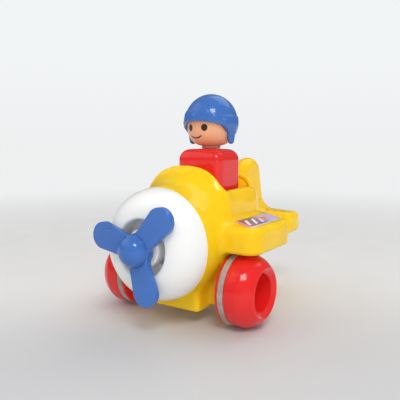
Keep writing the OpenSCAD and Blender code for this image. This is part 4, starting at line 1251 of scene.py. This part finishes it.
helmet = field_piece("flying_helmet", helmet_form, (-21, head_y - 21, head_z - 17.5),
                     (21, head_y + 21, head_z + 21), 0.5)
finish_piece(helmet, "head", blue_plastic, "pilot_helmet")

# %% [markdown]
# A sticker lies on each wing. It is a thin film with round corners, and its print is a plain pattern of
# slanting bars with a dot, in violet, pink and lilac.

# %% Wing stickers
label_corners = [(tub_half + 2.2, 6.4), (wing_half - 6.2, -wing_front + 3.4),
                 (wing_half - 7.6, tip_rear + 4.4), (tub_half + 1.4, root_rear - 4.4)]
label_t = 0.16
label_z = deck_z + 0.01


def label_sheet(side, name):
    """Film between an outline and its middle: rings of the outline drawn in towards the middle, first on
    the underside from the middle out, then on the top from the edge in."""
    outline = rounded([(side * u, v, 2.2) for u, v in label_corners], 8)
    heart = outline.mean(0)
    share = np.array([0, 0.5, 1, 0.995, 0.8, 0.5, 0.2, 0])
    height = label_z + np.array([0, 0, 0, 1, 1, 1, 1, 1]) * label_t
    ring = heart + (outline - heart)[None] * share[:, None, None]
    m = len(outline)
    point = np.concatenate([ring, np.broadcast_to(height[:, None, None], (len(share), m, 1))], -1)
    i, j = np.meshgrid(np.arange(len(share) - 1), np.arange(m), indexing="ij")
    after = (j + 1) % m
    quads = np.stack([i * m + j, (i + 1) * m + j, (i + 1) * m + after, i * m + after], -1).reshape(-1, 4)
    piece = quad_mesh(name, point.reshape(-1, 3), quads)
    edit(piece, close_seams)
    return piece


NAVY = (0.06, 0.03, 0.2, 1)
VIOLET = (0.16, 0.06, 0.4, 1)
LILAC = (0.64, 0.54, 0.78, 1)
PINK = (0.8, 0.2, 0.42, 1)
ORANGE = (0.95, 0.26, 0.03, 1)
CLOUD = (0.92, 0.88, 0.92, 1)


def make_label(side):
    """Print of a sticker: along runs back on its inner edge and across runs outwards, both from 0 to 1."""
    f = Finish("sticker_print_" + ("left" if side > 0 else "right"), (0.5, 0.4, 0.7), 0.3, specular=0.3)
    n = f.n
    object_x, object_y, _ = n.split(n.place())
    x = n.times(object_x, side / MM)
    y = n.minus(n.times(object_y, 1 / MM), axle_y)
    (ax, ay), (bx, by), _, (_, dy) = label_corners
    level = n.minus(y, n.math("MULTIPLY_ADD", n.minus(x, ax), (by - ay) / (bx - ax), ay))
    along = n.math("DIVIDE", level, dy - ay)
    across = n.math("DIVIDE", n.minus(x, ax), bx - ax)
    colour = n.mix(n.ramp(along, 0.35, 0.75), n.mix(n.ramp(across, 0.1, 0.9), NAVY, VIOLET), LILAC)
    bars = n.math("FRACT", n.math("MULTIPLY_ADD", across, 1.1, n.times(along, 5.5)))
    bar = n.ramp(n.math("ABSOLUTE", n.minus(bars, 0.5)), 0.22, 0.18)
    inner = n.ramp(n.math("ABSOLUTE", n.minus(across, 0.5)), 0.3, 0.27)
    window = n.times(n.ramp(along, 0.1, 0.12), n.ramp(along, 0.56, 0.54))
    colour = n.mix(n.times(n.times(bar, inner), window), colour, CLOUD)
    dot = n.length(n.times(n.minus(along, 0.66), dy - ay), n.times(n.minus(across, 0.42), bx - ax))
    colour = n.mix(n.ramp(dot, 3.3, 3.0), colour, ORANGE)
    colour = n.mix(n.ramp(along, 0.085, 0.075), colour, PINK)
    colour = n.mix(n.ramp(across, 0.93, 0.95), colour, CLOUD)
    faded = f.effect("drift", Scale=60.0)
    f.paint(n.mix(n.times(faded, 0.06), colour, (0.8, 0.78, 0.8, 1)))
    f.dull(n.math("MULTIPLY_ADD", f.effect("scratches", Amount=0.8), 0.3, 0.28))
    f.bump(f.effect("peel", Scale=300.0), 0.05, PEEL_HEIGHT)
    return f.material


for side, label in SIDES:
    sheet = label_sheet(side, "wing_sticker_" + label)
    finish_piece(sheet, "toy_body", make_label(side), "wing_label_" + label)

# %% [markdown]
# The stage is a sheet of pale paper that fades into a pale room, so that no horizon shows. Two narrow
# softboxes above the camera give the small bright windows on the plastic. Wide lamps and the room fill in the
# rest, and the room is darker in the reflections.

# %% Room
ROOM_LOW = (0.86, 0.87, 0.875, 1)
ROOM_HIGH = (0.885, 0.905, 0.92, 1)
world = bpy.data.worlds.new("pale_room")
bpy.context.scene.world = world
world.use_nodes = True
w = Nodes(world.node_tree)
room = world.node_tree.nodes["Background"]
room.inputs["Color"].default_value = (0.95, 0.97, 1.0, 1)
ray = w.add("LightPath")
w.feed(room.inputs["Strength"], w.math("MULTIPLY_ADD", ray.outputs["Is Glossy Ray"], -0.5, 0.7))
height = w.split(w.add("TexCoord").outputs["Generated"])[2]
seen = w.add("Background")
w.feed(seen.inputs["Color"], w.mix(w.ramp(height, -0.02, 0.2), ROOM_LOW, ROOM_HIGH))
join = w.blend(ray.outputs["Is Camera Ray"], room.outputs[0], seen.outputs[0])
w.feed(world.node_tree.nodes["World Output"].inputs["Surface"], join)

# %% Floor


def make_paper():
    """Warm white paper with painted shade that makes it darker in front of the toy, towards the camera. Far
    off it turns into the colour of the room's edge."""
    f = Finish("paper", (0.72, 0.71, 0.7), 0.5, specular=0.2)
    n = f.n
    place = n.place()
    f.dull(n.ramp(n.noise(place, 30.0, 3.0), 0.3, 0.7, 0.45, 0.55))
    # Painted shade: the paper's colour falls from light to darker towards the camera, standing in for weaker
    # light on the near floor.
    back = n.add("VectorMath", operation="DOT_PRODUCT")
    n.feed(back.inputs[0], place)
    back.inputs[1].default_value = (-0.55, 0.83, 0)
    f.paint(n.mix(n.ramp(back.outputs["Value"], -0.11, 0.05), (0.6, 0.595, 0.59, 1), (0.77, 0.755, 0.735, 1)))
    reach = n.add("VectorMath", operation="LENGTH")
    n.feed(reach.inputs[0], place)
    far = n.add("Emission")
    far.inputs["Color"].default_value = ROOM_LOW
    blend = n.blend(n.ramp(reach.outputs["Value"], 0.2, 1.0), f.shader.outputs[0], far.outputs[0])
    n.feed(f.material.node_tree.nodes["Material Output"].inputs["Surface"], blend)
    return f.material


floor_size = 60.0
floor_mesh = bpy.data.meshes.new("paper_floor")
corners = [(-floor_size, -floor_size, 0), (floor_size, -floor_size, 0), (floor_size, floor_size, 0),
           (-floor_size, floor_size, 0)]
floor_mesh.from_pydata(corners, [], [(0, 1, 2, 3)])
paper_floor = bpy.data.objects.new("paper_floor", floor_mesh)
bpy.context.scene.collection.objects.link(paper_floor)
paper_floor.data.materials.append(make_paper())

# %% Lamps


def softbox(name, turn, rise, distance, width, height, power, mirrored=True):
    """Area lamp aimed at the toy, placed by its turn from -Y towards +X and its rise, in degrees. A lamp
    that isn't mirrored shows in no reflection."""
    turn, rise = math.radians(turn), math.radians(rise)
    target = Vector((0, 0, 0.07))
    way = Vector((math.sin(turn) * math.cos(rise), -math.cos(turn) * math.cos(rise), math.sin(rise)))
    data = bpy.data.lights.new(name, "AREA")
    data.shape = "RECTANGLE"
    data.size = width
    data.size_y = height
    data.energy = power
    lamp = bpy.data.objects.new(name, data)
    lamp.location = target + way * distance
    lamp.rotation_euler = (-way).to_track_quat("-Z", "Y").to_euler()
    lamp.visible_glossy = mirrored
    bpy.context.scene.collection.objects.link(lamp)


softbox("window_lamp_high", 40, 51, 1.2, 0.4, 0.13, 2.2)
softbox("window_lamp_low", 40, 43, 1.2, 0.4, 0.13, 2.2)
softbox("left_fill", -60, 40, 1.5, 1.4, 1.0, 3)
softbox("rear_fill", 170, 55, 1.5, 1.2, 1.0, 4)
softbox("front_fill", 50, 4, 1.2, 0.9, 0.3, 3.2, mirrored=False)

# %% View settings
bpy.context.scene.view_settings.view_transform = "Standard"
